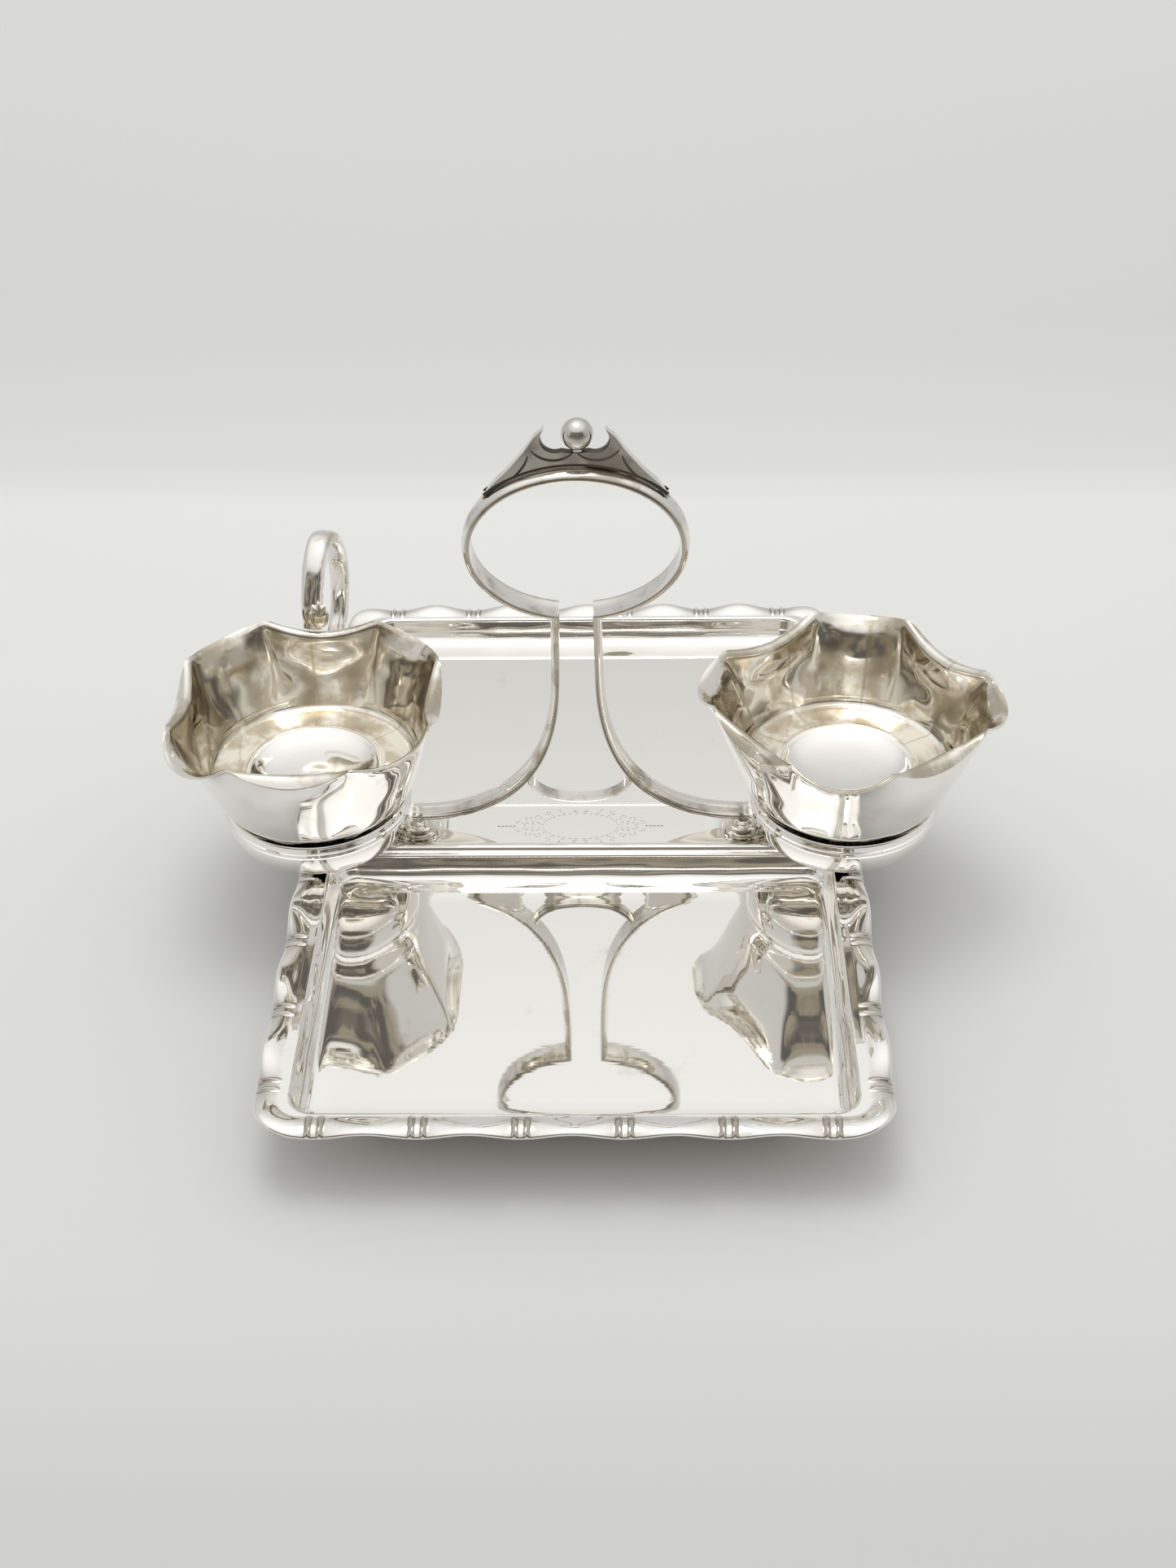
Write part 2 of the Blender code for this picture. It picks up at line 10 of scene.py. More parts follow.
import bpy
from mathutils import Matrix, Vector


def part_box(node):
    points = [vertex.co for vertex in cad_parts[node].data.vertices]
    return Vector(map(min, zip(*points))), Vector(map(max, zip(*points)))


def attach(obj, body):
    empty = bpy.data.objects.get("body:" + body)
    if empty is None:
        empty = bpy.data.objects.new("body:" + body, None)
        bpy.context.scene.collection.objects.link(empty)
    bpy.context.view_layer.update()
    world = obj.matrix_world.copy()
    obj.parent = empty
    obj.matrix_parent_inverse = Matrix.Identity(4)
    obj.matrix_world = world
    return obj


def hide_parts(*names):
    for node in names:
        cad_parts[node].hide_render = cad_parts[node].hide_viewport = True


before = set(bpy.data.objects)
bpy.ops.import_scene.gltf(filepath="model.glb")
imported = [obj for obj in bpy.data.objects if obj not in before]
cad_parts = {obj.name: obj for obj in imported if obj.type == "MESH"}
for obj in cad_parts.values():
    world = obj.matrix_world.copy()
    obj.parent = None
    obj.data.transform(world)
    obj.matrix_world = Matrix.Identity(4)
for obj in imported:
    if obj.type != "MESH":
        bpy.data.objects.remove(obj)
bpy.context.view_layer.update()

from math import atan2, cos, exp, pi, radians, sin, sqrt, tau

import bmesh
import bpy
import numpy as np
from mathutils import Matrix, Vector, noise

MM = 0.001

# %% [markdown]
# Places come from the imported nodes. The tray's box gives the middle of the stand and the height of its rim,
# and the boxes of the sockets give the two axes that the vessels stand on. From here on, the pieces of the
# stand are drawn round the tray's own middle, and each vessel round the middle of its foot.

# %% Measure the places that everything hangs on
tray_low, tray_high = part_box("tray")
jug_socket_low, jug_socket_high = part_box("jug_socket")
bowl_socket_low, bowl_socket_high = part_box("bowl_socket")
jug_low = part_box("jug_body")[0]

BRIDGE_RISE = 1.7 * MM
MIDDLE_X = (tray_low.x + tray_high.x) / 2
RIM_Z = tray_high.z - BRIDGE_RISE
STAND = Vector((MIDDLE_X, 0, 0))
JUG_AXIS = Vector(((jug_socket_low.x + jug_socket_high.x) / 2, 0, jug_low.z))
BOWL_AXIS = Vector(((bowl_socket_low.x + bowl_socket_high.x) / 2, 0, jug_low.z))
SOCKET_Z = jug_socket_low.z
print("rim height", round(RIM_Z / MM, 2), "mm, jug axis", [round(c / MM, 1) for c in JUG_AXIS])

# %% [markdown]
# ## The camera
#
# The view is from the front, about 38 degrees above the table, with a long lens and a slight roll. A
# camera's direction could be aimed with a constraint, but three angles and a matrix say it exactly: its
# columns are the camera's right, its up and its back.

# %% Stand the camera in front of the tray
PITCH, YAW, ROLL = radians(37.95), radians(-1.60), radians(1.19)


def camera_matrix(place):
    level = Vector((sin(YAW), cos(YAW), 0))
    side = Vector((cos(YAW), -sin(YAW), 0))
    ahead = level * cos(PITCH) - Vector((0, 0, sin(PITCH)))
    up = level * sin(PITCH) + Vector((0, 0, cos(PITCH)))
    right = side * cos(ROLL) - up * sin(ROLL)
    top = side * sin(ROLL) + up * cos(ROLL)
    turn = Matrix((right, top, -ahead)).transposed().to_4x4()
    return Matrix.Translation(place) @ turn


camera_data = bpy.data.cameras.new("front_view")
camera_data.lens = 45.77
camera_data.sensor_width = 36.0
camera = bpy.data.objects.new("front_view", camera_data)
camera.matrix_world = camera_matrix(STAND + Vector((16.8, -509.5, 440.1)) * MM)
bpy.context.scene.collection.objects.link(camera)
bpy.context.scene.camera = camera
print("camera at", [round(c / MM) for c in camera.location])

# %% [markdown]
# ## Shader arithmetic
#
# A procedural finish is a sum of masks and noises. Wiring each Math node by hand hides the formula, so one
# small class wraps an output socket and overloads the operators: `1 - mask * 0.4` then adds its own Math
# nodes. A second class holds a node tree and adds any other node from its type, its settings and its inputs.

# %% Wrap a socket so that formulas read as formulas


class Wire:
    """An output socket of a node tree; arithmetic on it adds Math nodes."""

    def __init__(self, tree, socket):
        self.tree = tree
        self.socket = socket

    def math(self, operation, *others):
        return self.tree.node("Math", {"operation": operation}, dict(enumerate((self, *others))))

    def __add__(self, other):
        return self.math("ADD", other)

    __radd__ = __add__

    def __sub__(self, other):
        return self.math("SUBTRACT", other)

    def __rsub__(self, other):
        return self.tree.node("Math", {"operation": "SUBTRACT"}, {0: other, 1: self})

    def __mul__(self, other):
        return self.math("MULTIPLY", other)

    __rmul__ = __mul__

    def step(self, low, high):
        """0 below low, 1 above high and a smooth rise between."""
        inputs = {"Value": self, "From Min": low, "From Max": high}
        return self.tree.node("MapRange", {"interpolation_type": "SMOOTHSTEP"}, inputs)


class Tree:
    """The node tree of a material or a world."""

    def __init__(self, owner):
        owner.use_nodes = True
        self.nodes = owner.node_tree.nodes
        self.links = owner.node_tree.links

    def node(self, kind, settings=None, inputs=None, output=0):
        made = self.nodes.new("ShaderNode" + kind)
        for name, value in (settings or {}).items():
            if name == "stops":
                self.set_stops(made.color_ramp, value)
            else:
                setattr(made, name, value)
        for name, value in (inputs or {}).items():
            self.feed(made.inputs[name], value)
        return Wire(self, made.outputs[output])

    def set_stops(self, ramp, stops):
        while len(ramp.elements) < len(stops):
            ramp.elements.new(0.5)
        for element, (place, color) in zip(ramp.elements, stops):
            element.position = place
            element.color = (*color, 1.0)

    def feed(self, socket, value):
        if isinstance(value, Wire):
            self.links.new(value.socket, socket)
        else:
            socket.default_value = value

    def mix(self, share, first, second):
        """A colour between two colours."""
        inputs = {"Factor": share, 6: (*first, 1.0) if isinstance(first, tuple) else first}
        inputs[7] = (*second, 1.0) if isinstance(second, tuple) else second
        return self.node("Mix", {"data_type": "RGBA"}, inputs, output=2)

    def split(self, vector):
        made = self.node("SeparateXYZ", None, {0: vector})
        outputs = made.socket.node.outputs
        return [Wire(self, outputs[i]) for i in range(3)]


print("shader helpers ready")

# %% [markdown]
# ## The studio
#
# Silver has almost no colour of its own: it shows what stands round it. The set stood in a white light tent,
# brightest overhead, with a dark room behind its open front. That surrounding could be built from cards and
# lamps, but a world shader says the same thing with no noise: brightness rises with height, and a soft-edged
# dark opening faces the camera's side. One broad, soft lamp overhead adds the little direction that the
# shadows have.

# %% Light the tent
TENT_STOPS = [
    (0.00, 0.60), (0.30, 0.63), (0.52, 0.66), (0.57, 0.70), (0.63, 0.79),
    (0.70, 0.89), (0.80, 1.00), (0.90, 1.10), (0.965, 1.20), (0.985, 2.4),
]  # fmt: skip
ROOM_DARK, ROOM_PALE = (0.125, 0.118, 0.110), (0.36, 0.32, 0.255)


def light_tent():
    world = bpy.data.worlds.new("light_tent")
    bpy.context.scene.world = world
    tree = Tree(world)
    way = tree.node("TexCoord", output="Generated")
    y, z = tree.split(way)[1:]
    stops = [(place, (glow * 1.0, glow * 0.995, glow * 0.985)) for place, glow in TENT_STOPS]
    tent = tree.node("ValToRGB", {"stops": stops}, {0: z})
    front = (0 - y).step(0.50, 0.66)
    low = 1 - z.step(0.50, 0.66)
    clutter = tree.node("TexNoise", None, {"Vector": way, "Scale": 5.0, "Detail": 2.0})
    room = tree.mix(clutter.step(0.42, 0.62), ROOM_DARK, ROOM_PALE)
    seen = tree.mix(front * low, tent, room)
    background = world.node_tree.nodes["Background"]
    tree.feed(background.inputs["Color"], seen)
    background.inputs["Strength"].default_value = 1.0
    return world


def overhead_lamp():
    data = bpy.data.lights.new("tent_lamp", "AREA")
    data.shape = "DISK"
    data.size = 0.5
    data.energy = 2.0
    lamp = bpy.data.objects.new("tent_lamp", data)
    lamp.location = (-0.1, 0.1, 1.1)
    lamp.rotation_euler = (radians(-5), radians(-5), 0)
    bpy.context.scene.collection.objects.link(lamp)
    return lamp


print("world:", light_tent().name, "lamp:", overhead_lamp().name)

# %% [markdown]
# The floor is a sheet of matt white paper that turns up into a backdrop far behind. A plane is enough; its
# colour changes with distance as painted shade: darker towards the front, a painted dip where the paper
# begins to rise, and a dark brown for the unlit room behind the camera.

# %% Lay the paper
# Painted shade on the paper: darker near the front and a dip where it begins to rise.
PAPER_SHADE_STOPS = [(-0.24, 0.60), (-0.17, 0.675), (-0.05, 0.70), (0.04, 0.72), (0.14, 0.735), (0.255, 0.755)]
PAPER_SHADE_STOPS += [(0.29, 0.685), (0.345, 0.665), (0.434, 0.645), (0.66, 0.68), (0.90, 0.72)]
PAPER_NEAR, PAPER_DEEP = -0.30, 1.20


def paper_floor():
    half = 2.5
    mesh = bpy.data.meshes.new("paper_floor")
    corners = [(-half, -half, 0), (half, -half, 0), (half, half, 0), (-half, half, 0)]
    mesh.from_pydata(corners, [], [(0, 1, 2, 3)])
    floor = bpy.data.objects.new("paper_floor", mesh)
    bpy.context.scene.collection.objects.link(floor)
    paper = bpy.data.materials.new("white_paper_painted_shade")
    tree = Tree(paper)
    place = tree.node("TexCoord", output="Object")
    y = tree.split(place)[1]
    grain = tree.node("TexNoise", None, {"Vector": place, "Scale": 350.0, "Detail": 3.0})
    stops = [((at - PAPER_NEAR) / PAPER_DEEP, (tone, tone * 1.004, tone * 0.985)) for at, tone in PAPER_SHADE_STOPS]
    sheet = tree.node("ValToRGB", {"stops": stops}, {0: (y - PAPER_NEAR) * (1 / PAPER_DEEP)})
    # Painted shade: behind the camera the paper takes the dark brown of the unlit room.
    far = tree.mix((0 - y).step(0.40, 0.62), sheet, (0.36, 0.33, 0.27))
    shader = paper.node_tree.nodes["Principled BSDF"]
    tree.feed(shader.inputs["Base Color"], far)
    shader.inputs["Roughness"].default_value = 0.9
    shader.inputs["Specular IOR Level"].default_value = 0.2
    bump = tree.node("Bump", None, {"Height": grain, "Strength": 0.05, "Distance": 0.0002})
    tree.feed(shader.inputs["Normal"], bump)
    mesh.materials.append(paper)
    return floor


paper_floor()
bpy.context.scene.view_settings.view_transform = "Standard"
bpy.context.scene.cycles.glossy_bounces = 10
bpy.context.scene.cycles.max_bounces = 14
print("floor laid")

# %% [markdown]
# ## Finishes
#
# Silver plate is a clean metal, so its finish is nearly all surface: soft dents a few centimetres wide that
# bend the reflections, fine rolling lines left by the mill, hair scratches that lift the roughness a little,
# and a brown tone where a cloth doesn't reach. Each one is a noise at its own scale. One function makes all
# the silver finishes from a few strengths, so that the pieces still look like one set.

# %% Mix the silver finishes


def silver_finish(
    name, bright, toned, tone_from, tone_to, polish, dents, rolling=0.0, seams=(), rim=(), worn=False
):
    """Plated silver: bright where it is rubbed, toned where it isn't.

    seams are the angles of upright seams, rim is how far from the middle plane a strap's edges are painted
    darker as shade, and the last flag adds the patina and painted shade that a mesh carries in its vertices.
    """
    material = bpy.data.materials.new(name)
    tree = Tree(material)
    shader = material.node_tree.nodes["Principled BSDF"]
    shader.inputs["Metallic"].default_value = 1.0
    place = tree.node("TexCoord", output="Object")
    cloud = tree.node("TexNoise", None, {"Vector": place, "Scale": 55.0, "Detail": 4.0, "Roughness": 0.6})
    specks = tree.node("TexNoise", None, {"Vector": place, "Scale": 900.0, "Detail": 2.0})
    tone = cloud.step(tone_from, tone_to) + specks.step(0.70, 0.80) * 0.35
    x, y = tree.split(place)[:2]
    for seam in seams:
        off = y.math("ARCTAN2", x) - radians(seam) + cloud * 0.05
        tone = tone + (1 - (off * off).step(0.00002, 0.0003)) * 0.6
    # Patina in the grooves and painted shade on the flanks beside the border's ribs, read from the mesh's
    # vertices.
    if worn:
        tone = tone + tree.node("Attribute", {"attribute_name": "tarnish"}, output=2) * 1.2
    # Painted shade: a strap's edges, where their rounding turns away from the light, are coloured darker.
    if rim:
        tone = tone + (y.math("ABSOLUTE") + cloud * 0.0006).step(*rim) * 0.8
    tree.feed(shader.inputs["Base Color"], tree.mix(tone, bright, toned))
    combed = tree.node("Mapping", None, {"Vector": place, "Scale": (60.0, 2600.0, 2600.0)})
    hairs = tree.node("TexNoise", None, {"Vector": combed, "Scale": 1.0, "Detail": 2.0})
    tree.feed(shader.inputs["Roughness"], polish + tone * 0.10 + hairs.step(0.55, 0.9) * 0.05)
    soft = tree.node("TexNoise", None, {"Vector": place, "Scale": 38.0, "Detail": 1.0})
    mill = tree.node("Mapping", None, {"Vector": place, "Scale": (12.0, 700.0, 700.0)})
    lines = tree.node("TexNoise", None, {"Vector": mill, "Scale": 1.0, "Detail": 1.0})
    relief = soft * dents + lines * rolling
    bump = tree.node("Bump", None, {"Height": relief, "Strength": 1.0, "Distance": 0.0004})
    tree.feed(shader.inputs["Normal"], bump)
    return material


BRIGHT, TONED, TARNISHED = (0.93, 0.915, 0.88), (0.72, 0.67, 0.585), (0.50, 0.455, 0.385)
TRAY_PLATE = silver_finish("tray_plate", BRIGHT, (0.80, 0.765, 0.70), 0.62, 0.86, 0.03, 0.05, rolling=0.01)
# The border's finish also takes the patina and painted shade that its mesh carries beside the ribs.
BORDER_PLATE = silver_finish("border_plate", BRIGHT, (0.36, 0.325, 0.27), 0.60, 0.95, 0.04, 0.10, worn=True)
# The strap's edges beyond 4 to 5 mm from its middle plane are painted darker as shade.
STRAP_PLATE = silver_finish(
    "strap_plate", (0.84, 0.82, 0.775), (0.44, 0.40, 0.335), 0.50, 0.68, 0.06, 0.25, rim=(0.0040, 0.0050)
)
EDGE_PLATE = silver_finish("edge_plate", (0.88, 0.86, 0.82), TARNISHED, 0.55, 0.75, 0.12, 0.2)
BALL_PLATE = silver_finish("ball_plate", (0.66, 0.645, 0.61), TARNISHED, 0.50, 0.75, 0.14, 0.1)
HANDLE_PLATE = silver_finish("handle_plate", (0.86, 0.84, 0.80), (0.56, 0.51, 0.43), 0.50, 0.66, 0.05, 0.7)
LEAF_PLATE = silver_finish("leaf_plate", (0.90, 0.87, 0.78), (0.70, 0.62, 0.46), 0.45, 0.70, 0.07, 0.3)
CREST_FACE = silver_finish("crest_face", (0.46, 0.43, 0.38), (0.30, 0.275, 0.235), 0.45, 0.62, 0.28, 0.3)
CHASING = silver_finish("black_chasing", (0.075, 0.068, 0.058), (0.15, 0.135, 0.11), 0.50, 0.66, 0.35, 0.2)
ENGRAVING = silver_finish("grey_engraving", (0.20, 0.19, 0.18), (0.36, 0.34, 0.32), 0.50, 0.66, 0.35, 0.2)
NUT_METAL = silver_finish("worn_nickel", (0.62, 0.58, 0.50), (0.40, 0.35, 0.28), 0.45, 0.65, 0.30, 0.4)
print("finishes:", [m.name for m in bpy.data.materials])

# %% [markdown]
# ## Mesh helpers
#
# Nearly every piece is either turned on a lathe or swept along a line, so it is a stack of rings with the
# same number of points. `skin` joins such rings with quads, `smooth` draws a fine curve through a few chosen
# points, and `finish_piece` turns the result into a shaded object that rides on its body and hides the plain
# node.

# %% Make the helpers for rings, curves and pieces


def skin(bm, rings, closed=True):
    """Quads between rings that have the same number of points; returns the rings' vertices."""
    rows = [[bm.verts.new(point) for point in ring] for ring in rings]
    for first, second in zip(rows, rows[1:]):
        count = len(first)
        for i in range(count if closed else count - 1):
            j = (i + 1) % count
            bm.faces.new((first[i], first[j], second[j], second[i]))
    return rows


def smooth(points, pieces):
    """A fine curve through the given points, as lists of numbers."""
    known = [np.array(p, float) for p in points]
    known = [known[0] * 2 - known[1], *known, known[-1] * 2 - known[-2]]
    found = [known[1]]
    for a, b, c, d in zip(known, known[1:], known[2:], known[3:]):
        for i in range(1, pieces + 1):
            t = i / pieces
            curved = (2 * a - 5 * b + 4 * c - d) * t**2
            twisted = (3 * b - 3 * c + d - a) * t**3
            found.append(0.5 * (2 * b + (c - a) * t + curved + twisted))
    return found


def bow(center, radius, start, end, steps):
    """Points of an arc in a plane, with its angles in degrees."""
    found = []
    for i in range(steps + 1):
        a = radians(start + (end - start) * i / steps)
        found.append((center[0] + radius * cos(a), center[1] + radius * sin(a)))
    return found


def finish_piece(name, bm, finish, body, place, replaces=(), crease=35, tilt=(0, 0, 0)):
    """Shades the mesh, gives it its finish and lets it ride on a body."""
    bmesh.ops.recalc_face_normals(bm, faces=bm.faces)
    mesh = bpy.data.meshes.new(name)
    bm.to_mesh(mesh)
    bm.free()
    mesh.shade_smooth()
    mesh.set_sharp_from_angle(angle=radians(crease))
    made = bpy.data.objects.new(name, mesh)
    made.location = place
    made.rotation_euler = tilt
    for material in finish if isinstance(finish, list) else [finish]:
        mesh.materials.append(material)
    bpy.context.scene.collection.objects.link(made)
    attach(made, body)
    if replaces:
        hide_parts(*replaces)
    print(f"{name}: {len(mesh.polygons)} faces on {body}")
    return made


def turned(name, profile, finish, body, place, replaces=(), steps=96, crease=35):
    """A piece from the lathe; the profile is (radius, height) in millimetres, from axis to axis."""
    bm = bmesh.new()
    turns = [tau * i / steps for i in range(steps)]
    rings = [[(r * MM * cos(a), r * MM * sin(a), z * MM) for a in turns] for r, z in profile if r > 0]
    rows = skin(bm, rings)
    for (_, height), row in ((profile[0], rows[0]), (profile[-1], rows[-1])):
        tip = bm.verts.new((0, 0, height * MM))
        for i, vert in enumerate(row):
            bm.faces.new((tip, vert, row[(i + 1) % steps]))
    return finish_piece(name, bm, finish, body, place, replaces, crease)


print("mesh helpers ready")

# %% [markdown]
# ## The tray's border
#
# The edge of the tray was pressed in a die: a rounded moulding whose outer edge rises and falls in long
# lobes, and where two lobes meet, two small ribs cross it. A displacement texture could push this out of a
# flat strip, but then the ribs would need a very dense mesh everywhere. Here the stations round the edge are
# placed with a given spacing, close at the ribs and wide along the lobes, and a formula gives each station
# its height.

# %% Set out the lobes and the ribs
TRAY_X, TRAY_Y, TRAY_CORNER = 182.0, 269.0, 14.0
FRONT_PITCH, SIDE_PITCH, SIDE_FIRST_PAIR = 28.9, 30.5, 23.8
LOBE_LIFT, LOBE_PUSH = 1.15, 0.30
RIB_APART, RIB_WIDTH, RIB_RISE = 1.75, 0.48, 0.85
STRAIGHT = TRAY_X / 2 - TRAY_CORNER
SIDE = TRAY_Y / 2 - TRAY_CORNER
QUARTER = STRAIGHT + TRAY_CORNER * pi / 2 + SIDE


def rib_pairs():
    """Where the rib pairs lie, as distances along the edge from the middle of the front."""
    front = [FRONT_PITCH * (i + 0.5) for i in range(3)]
    sides = [QUARTER - SIDE_FIRST_PAIR - SIDE_PITCH * i for i in range(3, -1, -1)]
    return [-front[0], *front, *sides, 2 * QUARTER - sides[-1]]


def border_stations():
    """(distance, lobe from -1 at a pair to 1 between pairs, rib, patina and painted shade) round a quarter of
    the edge.
    """
    near_pair = [0.25 * i for i in range(17)]
    found = []
    pairs = rib_pairs()
    for start, end in zip(pairs, pairs[1:]):
        length = end - start
        wide = [near_pair[-1] + (length - 2 * near_pair[-1]) * i / 14 for i in range(1, 14)]
        for offset in near_pair + wide + [length - step for step in reversed(near_pair[1:])]:
            distance = start + offset
            if not 0 <= distance < QUARTER - 0.4:
                continue
            gap = min(offset, length - offset)
            rib = exp(-(((gap - RIB_APART) / RIB_WIDTH) ** 2))
            # Patina in the groove and painted shade on the flanks beside each rib, and more of both round
            # each pair.
            beside = exp(-(((abs(gap - RIB_APART) - 0.85) / 0.32) ** 2))
            shade = max(beside, 0.45 * exp(-((gap / 5.5) ** 2)))
            found.append((distance, -cos(tau * offset / length), rib, shade))
    found.append((QUARTER, 1.0, 0.0, 0.0))
    return found


def edge_point(distance, inset):
    turn = (distance - STRAIGHT) / TRAY_CORNER
    if turn <= 0:
        return distance, -(TRAY_Y / 2 - inset)
    if turn >= pi / 2:
        return TRAY_X / 2 - inset, -SIDE + (distance - STRAIGHT - TRAY_CORNER * pi / 2)
    reach = TRAY_CORNER - inset
    return STRAIGHT + reach * sin(turn), -SIDE - reach * cos(turn)


def border_ring(inset, height, lobes, ribs):
    """One ring of the border in millimetres; lobes and ribs are how much of each it takes."""
    quarter = []
    for distance, lobe, rib, _ in border_stations():
        x, y = edge_point(distance, inset - lobes * LOBE_PUSH * lobe)
        quarter.append((x, y, height + lobes * LOBE_LIFT * lobe + ribs * RIB_RISE * rib))
    right = quarter + [(x, -y, z) for x, y, z in quarter[-2::-1]]
    return right + [(-x, y, z) for x, y, z in right[-2:0:-1]]


def border_shade():
    """How much patina and painted shade each station of a whole ring takes."""
    quarter = [station[3] for station in border_stations()]
    right = quarter + quarter[-2::-1]
    return right + right[-2:0:-1]


print("stations round a quarter:", len(border_stations()))

# %% [markdown]
# ## The wells and the bridge
#
# Each well drops just over 9 mm from a rolled mouth down a nearly upright wall, and turns through a soft cove
# into a flat floor that works as a mirror. The bridge is a plateau with a bead along its edge. All of these
# are rounded rectangles at different insets. A flat floor must stay exactly flat, so a narrow ring in the
# same plane lies just outside every bend: the smooth shading then starts at the bend and not before it.

# %% Draw the rings of the wells and the bridge
WELL_X, WELL_NEAR, WELL_FAR, WELL_DEPTH, WELL_CORNER = 81.0, 13.2, 126.0, 9.4, 8.0
WELL_HALF_Y = (WELL_FAR - WELL_NEAR) / 2
BRIDGE_X, BRIDGE_Y = 80.0, 12.3
HANDLE_FOOT_X, HANDLE_FOOT_Y, STUD_RADIUS = 53.0, -3.3, 1.9


def rounded_rectangle(middle_y, half_x, half_y, corner, z, bends=16, runs=30):
    """A ring with rounded corners and points along its straight runs, in millimetres."""
    found = []
    for quadrant in range(4):
        side_x = 1 if quadrant in (0, 3) else -1
        side_y = 1 if quadrant in (0, 1) else -1
        center = (side_x * (half_x - corner), middle_y + side_y * (half_y - corner))
        arc = bow(center, corner, 90 * quadrant, 90 * quadrant + 90, bends)
        found += [(x, y, z) for x, y in arc]
        if quadrant % 2 == 0:
            end = (-center[0], arc[-1][1])
        else:
            end = (arc[-1][0], 2 * middle_y - center[1])
        start = arc[-1]
        for i in range(1, runs):
            t = i / runs
            found.append((start[0] + (end[0] - start[0]) * t, start[1] + (end[1] - start[1]) * t, z))
    return found


def wavy(ring, middle_y, amount):
    """Moves the points of a wall in or out a little, as hand finishing does."""
    moved = []
    for x, y, z in ring:
        swell = noise.noise(Vector((x, y, z * 1.5)) / 11) * amount
        away = Vector((x / WELL_X, (y - middle_y) / WELL_HALF_Y))
        if abs(away.x) > abs(away.y):
            x += swell if x > 0 else -swell
        else:
            y += swell if away.y > 0 else -swell
        moved.append((x, y, z))
    return moved


def well_rings(side):
    """From the flange's support ring, over the mouth, down the wall and through the cove to the floor."""
    middle = side * (WELL_NEAR + WELL_FAR) / 2
    mouth = [(-0.7, 0.0), (-0.6, 0.0), (-0.3, 0.05), (0.0, 0.18), (0.22, 0.42), (0.38, 0.8), (0.48, 1.35)]
    wall = [(0.56, 2.0), (0.68, 2.9), (0.84, 3.9), (1.05, 4.9)]
    cove = [(1.4, 6.0), (1.95, 7.0), (2.75, 7.9), (3.8, 8.55), (5.0, 8.93), (6.3, 9.12)]
    floor = [(8.0, 9.27), (10.5, 9.36), (13.0, WELL_DEPTH), (13.5, WELL_DEPTH)]
    rings = []
    for inset, drop in mouth + wall + cove + floor:
        corner = max(WELL_CORNER - max(inset, 0) * 0.4, 4.0)
        ring = rounded_rectangle(middle, WELL_X - inset, WELL_HALF_Y - inset, corner, -drop)
        share = sin(pi * min(max((drop - 0.7) / (WELL_DEPTH - 1.2), 0), 1))
        rings.append(wavy(ring, middle, 0.34 * share))
    return rings


def bridge_rings():
    """The bead and the edge of the bridge, from the flange up to its flat top."""
    rows = [(0.0, 0.0), (0.1, 0.0), (0.22, 0.35), (0.4, 1.0), (0.7, 1.55), (1.1, 1.85), (1.6, 1.93)]
    rows += [(2.1, 1.82), (2.5, 1.72), (2.8, 1.70), (3.1, 1.70)]
    rings = []
    for inset, z in rows:
        corner = max(3.4 - inset, 0.8)
        rings.append(rounded_rectangle(0, BRIDGE_X - inset, BRIDGE_Y - inset, corner, z))
    return rings


print("rings of one well:", len(well_rings(1)), "of the bridge:", len(bridge_rings()))

# %% [markdown]
# The tray is one sheet of metal. Its flat parts are filled between the rings with flat triangles, which cost
# little and can't show, because their normals all point straight up. A Solidify modifier gives the sheet its
# thickness on the underside, so that the shaped upper face stays as drawn. The border carries more tone than
# the rest, with patina in the grooves and painted shade on the flanks beside its ribs, so its faces take the
# second finish.

# %% Press the tray
BORDER_ROWS = [
    (0.55, -1.35, 0.9, 0.0), (0.15, -1.05, 1.0, 0.0), (0.0, -0.65, 1.0, 0.2), (0.12, -0.25, 1.0, 0.5),
    (0.5, 0.10, 0.97, 0.8), (1.1, 0.38, 0.90, 1.0), (1.9, 0.58, 0.78, 1.0), (2.9, 0.68, 0.60, 1.0),
    (3.9, 0.66, 0.42, 1.0), (4.9, 0.52, 0.25, 1.0), (5.7, 0.33, 0.13, 0.95), (6.4, 0.15, 0.05, 0.7),
    (7.0, 0.03, 0.0, 0.3), (7.4, 0.0, 0.0, 0.0), (7.6, 0.0, 0.0, 0.0),
]  # fmt: skip
SHEET = 0.9


def lifted(ring):
    return [(x * MM, y * MM, RIM_Z + z * MM) for x, y, z in ring]


def fill_flat(bm, rings):
    """Flat triangles between an outer ring of vertices and the rings of the holes in it."""
    edges = []
    for ring in rings:
        for i, vert in enumerate(ring):
            other = ring[(i + 1) % len(ring)]
            edges.append(bm.edges.get((vert, other)) or bm.edges.new((vert, other)))
    bmesh.ops.triangle_fill(bm, use_beauty=True, use_dissolve=False, edges=edges)


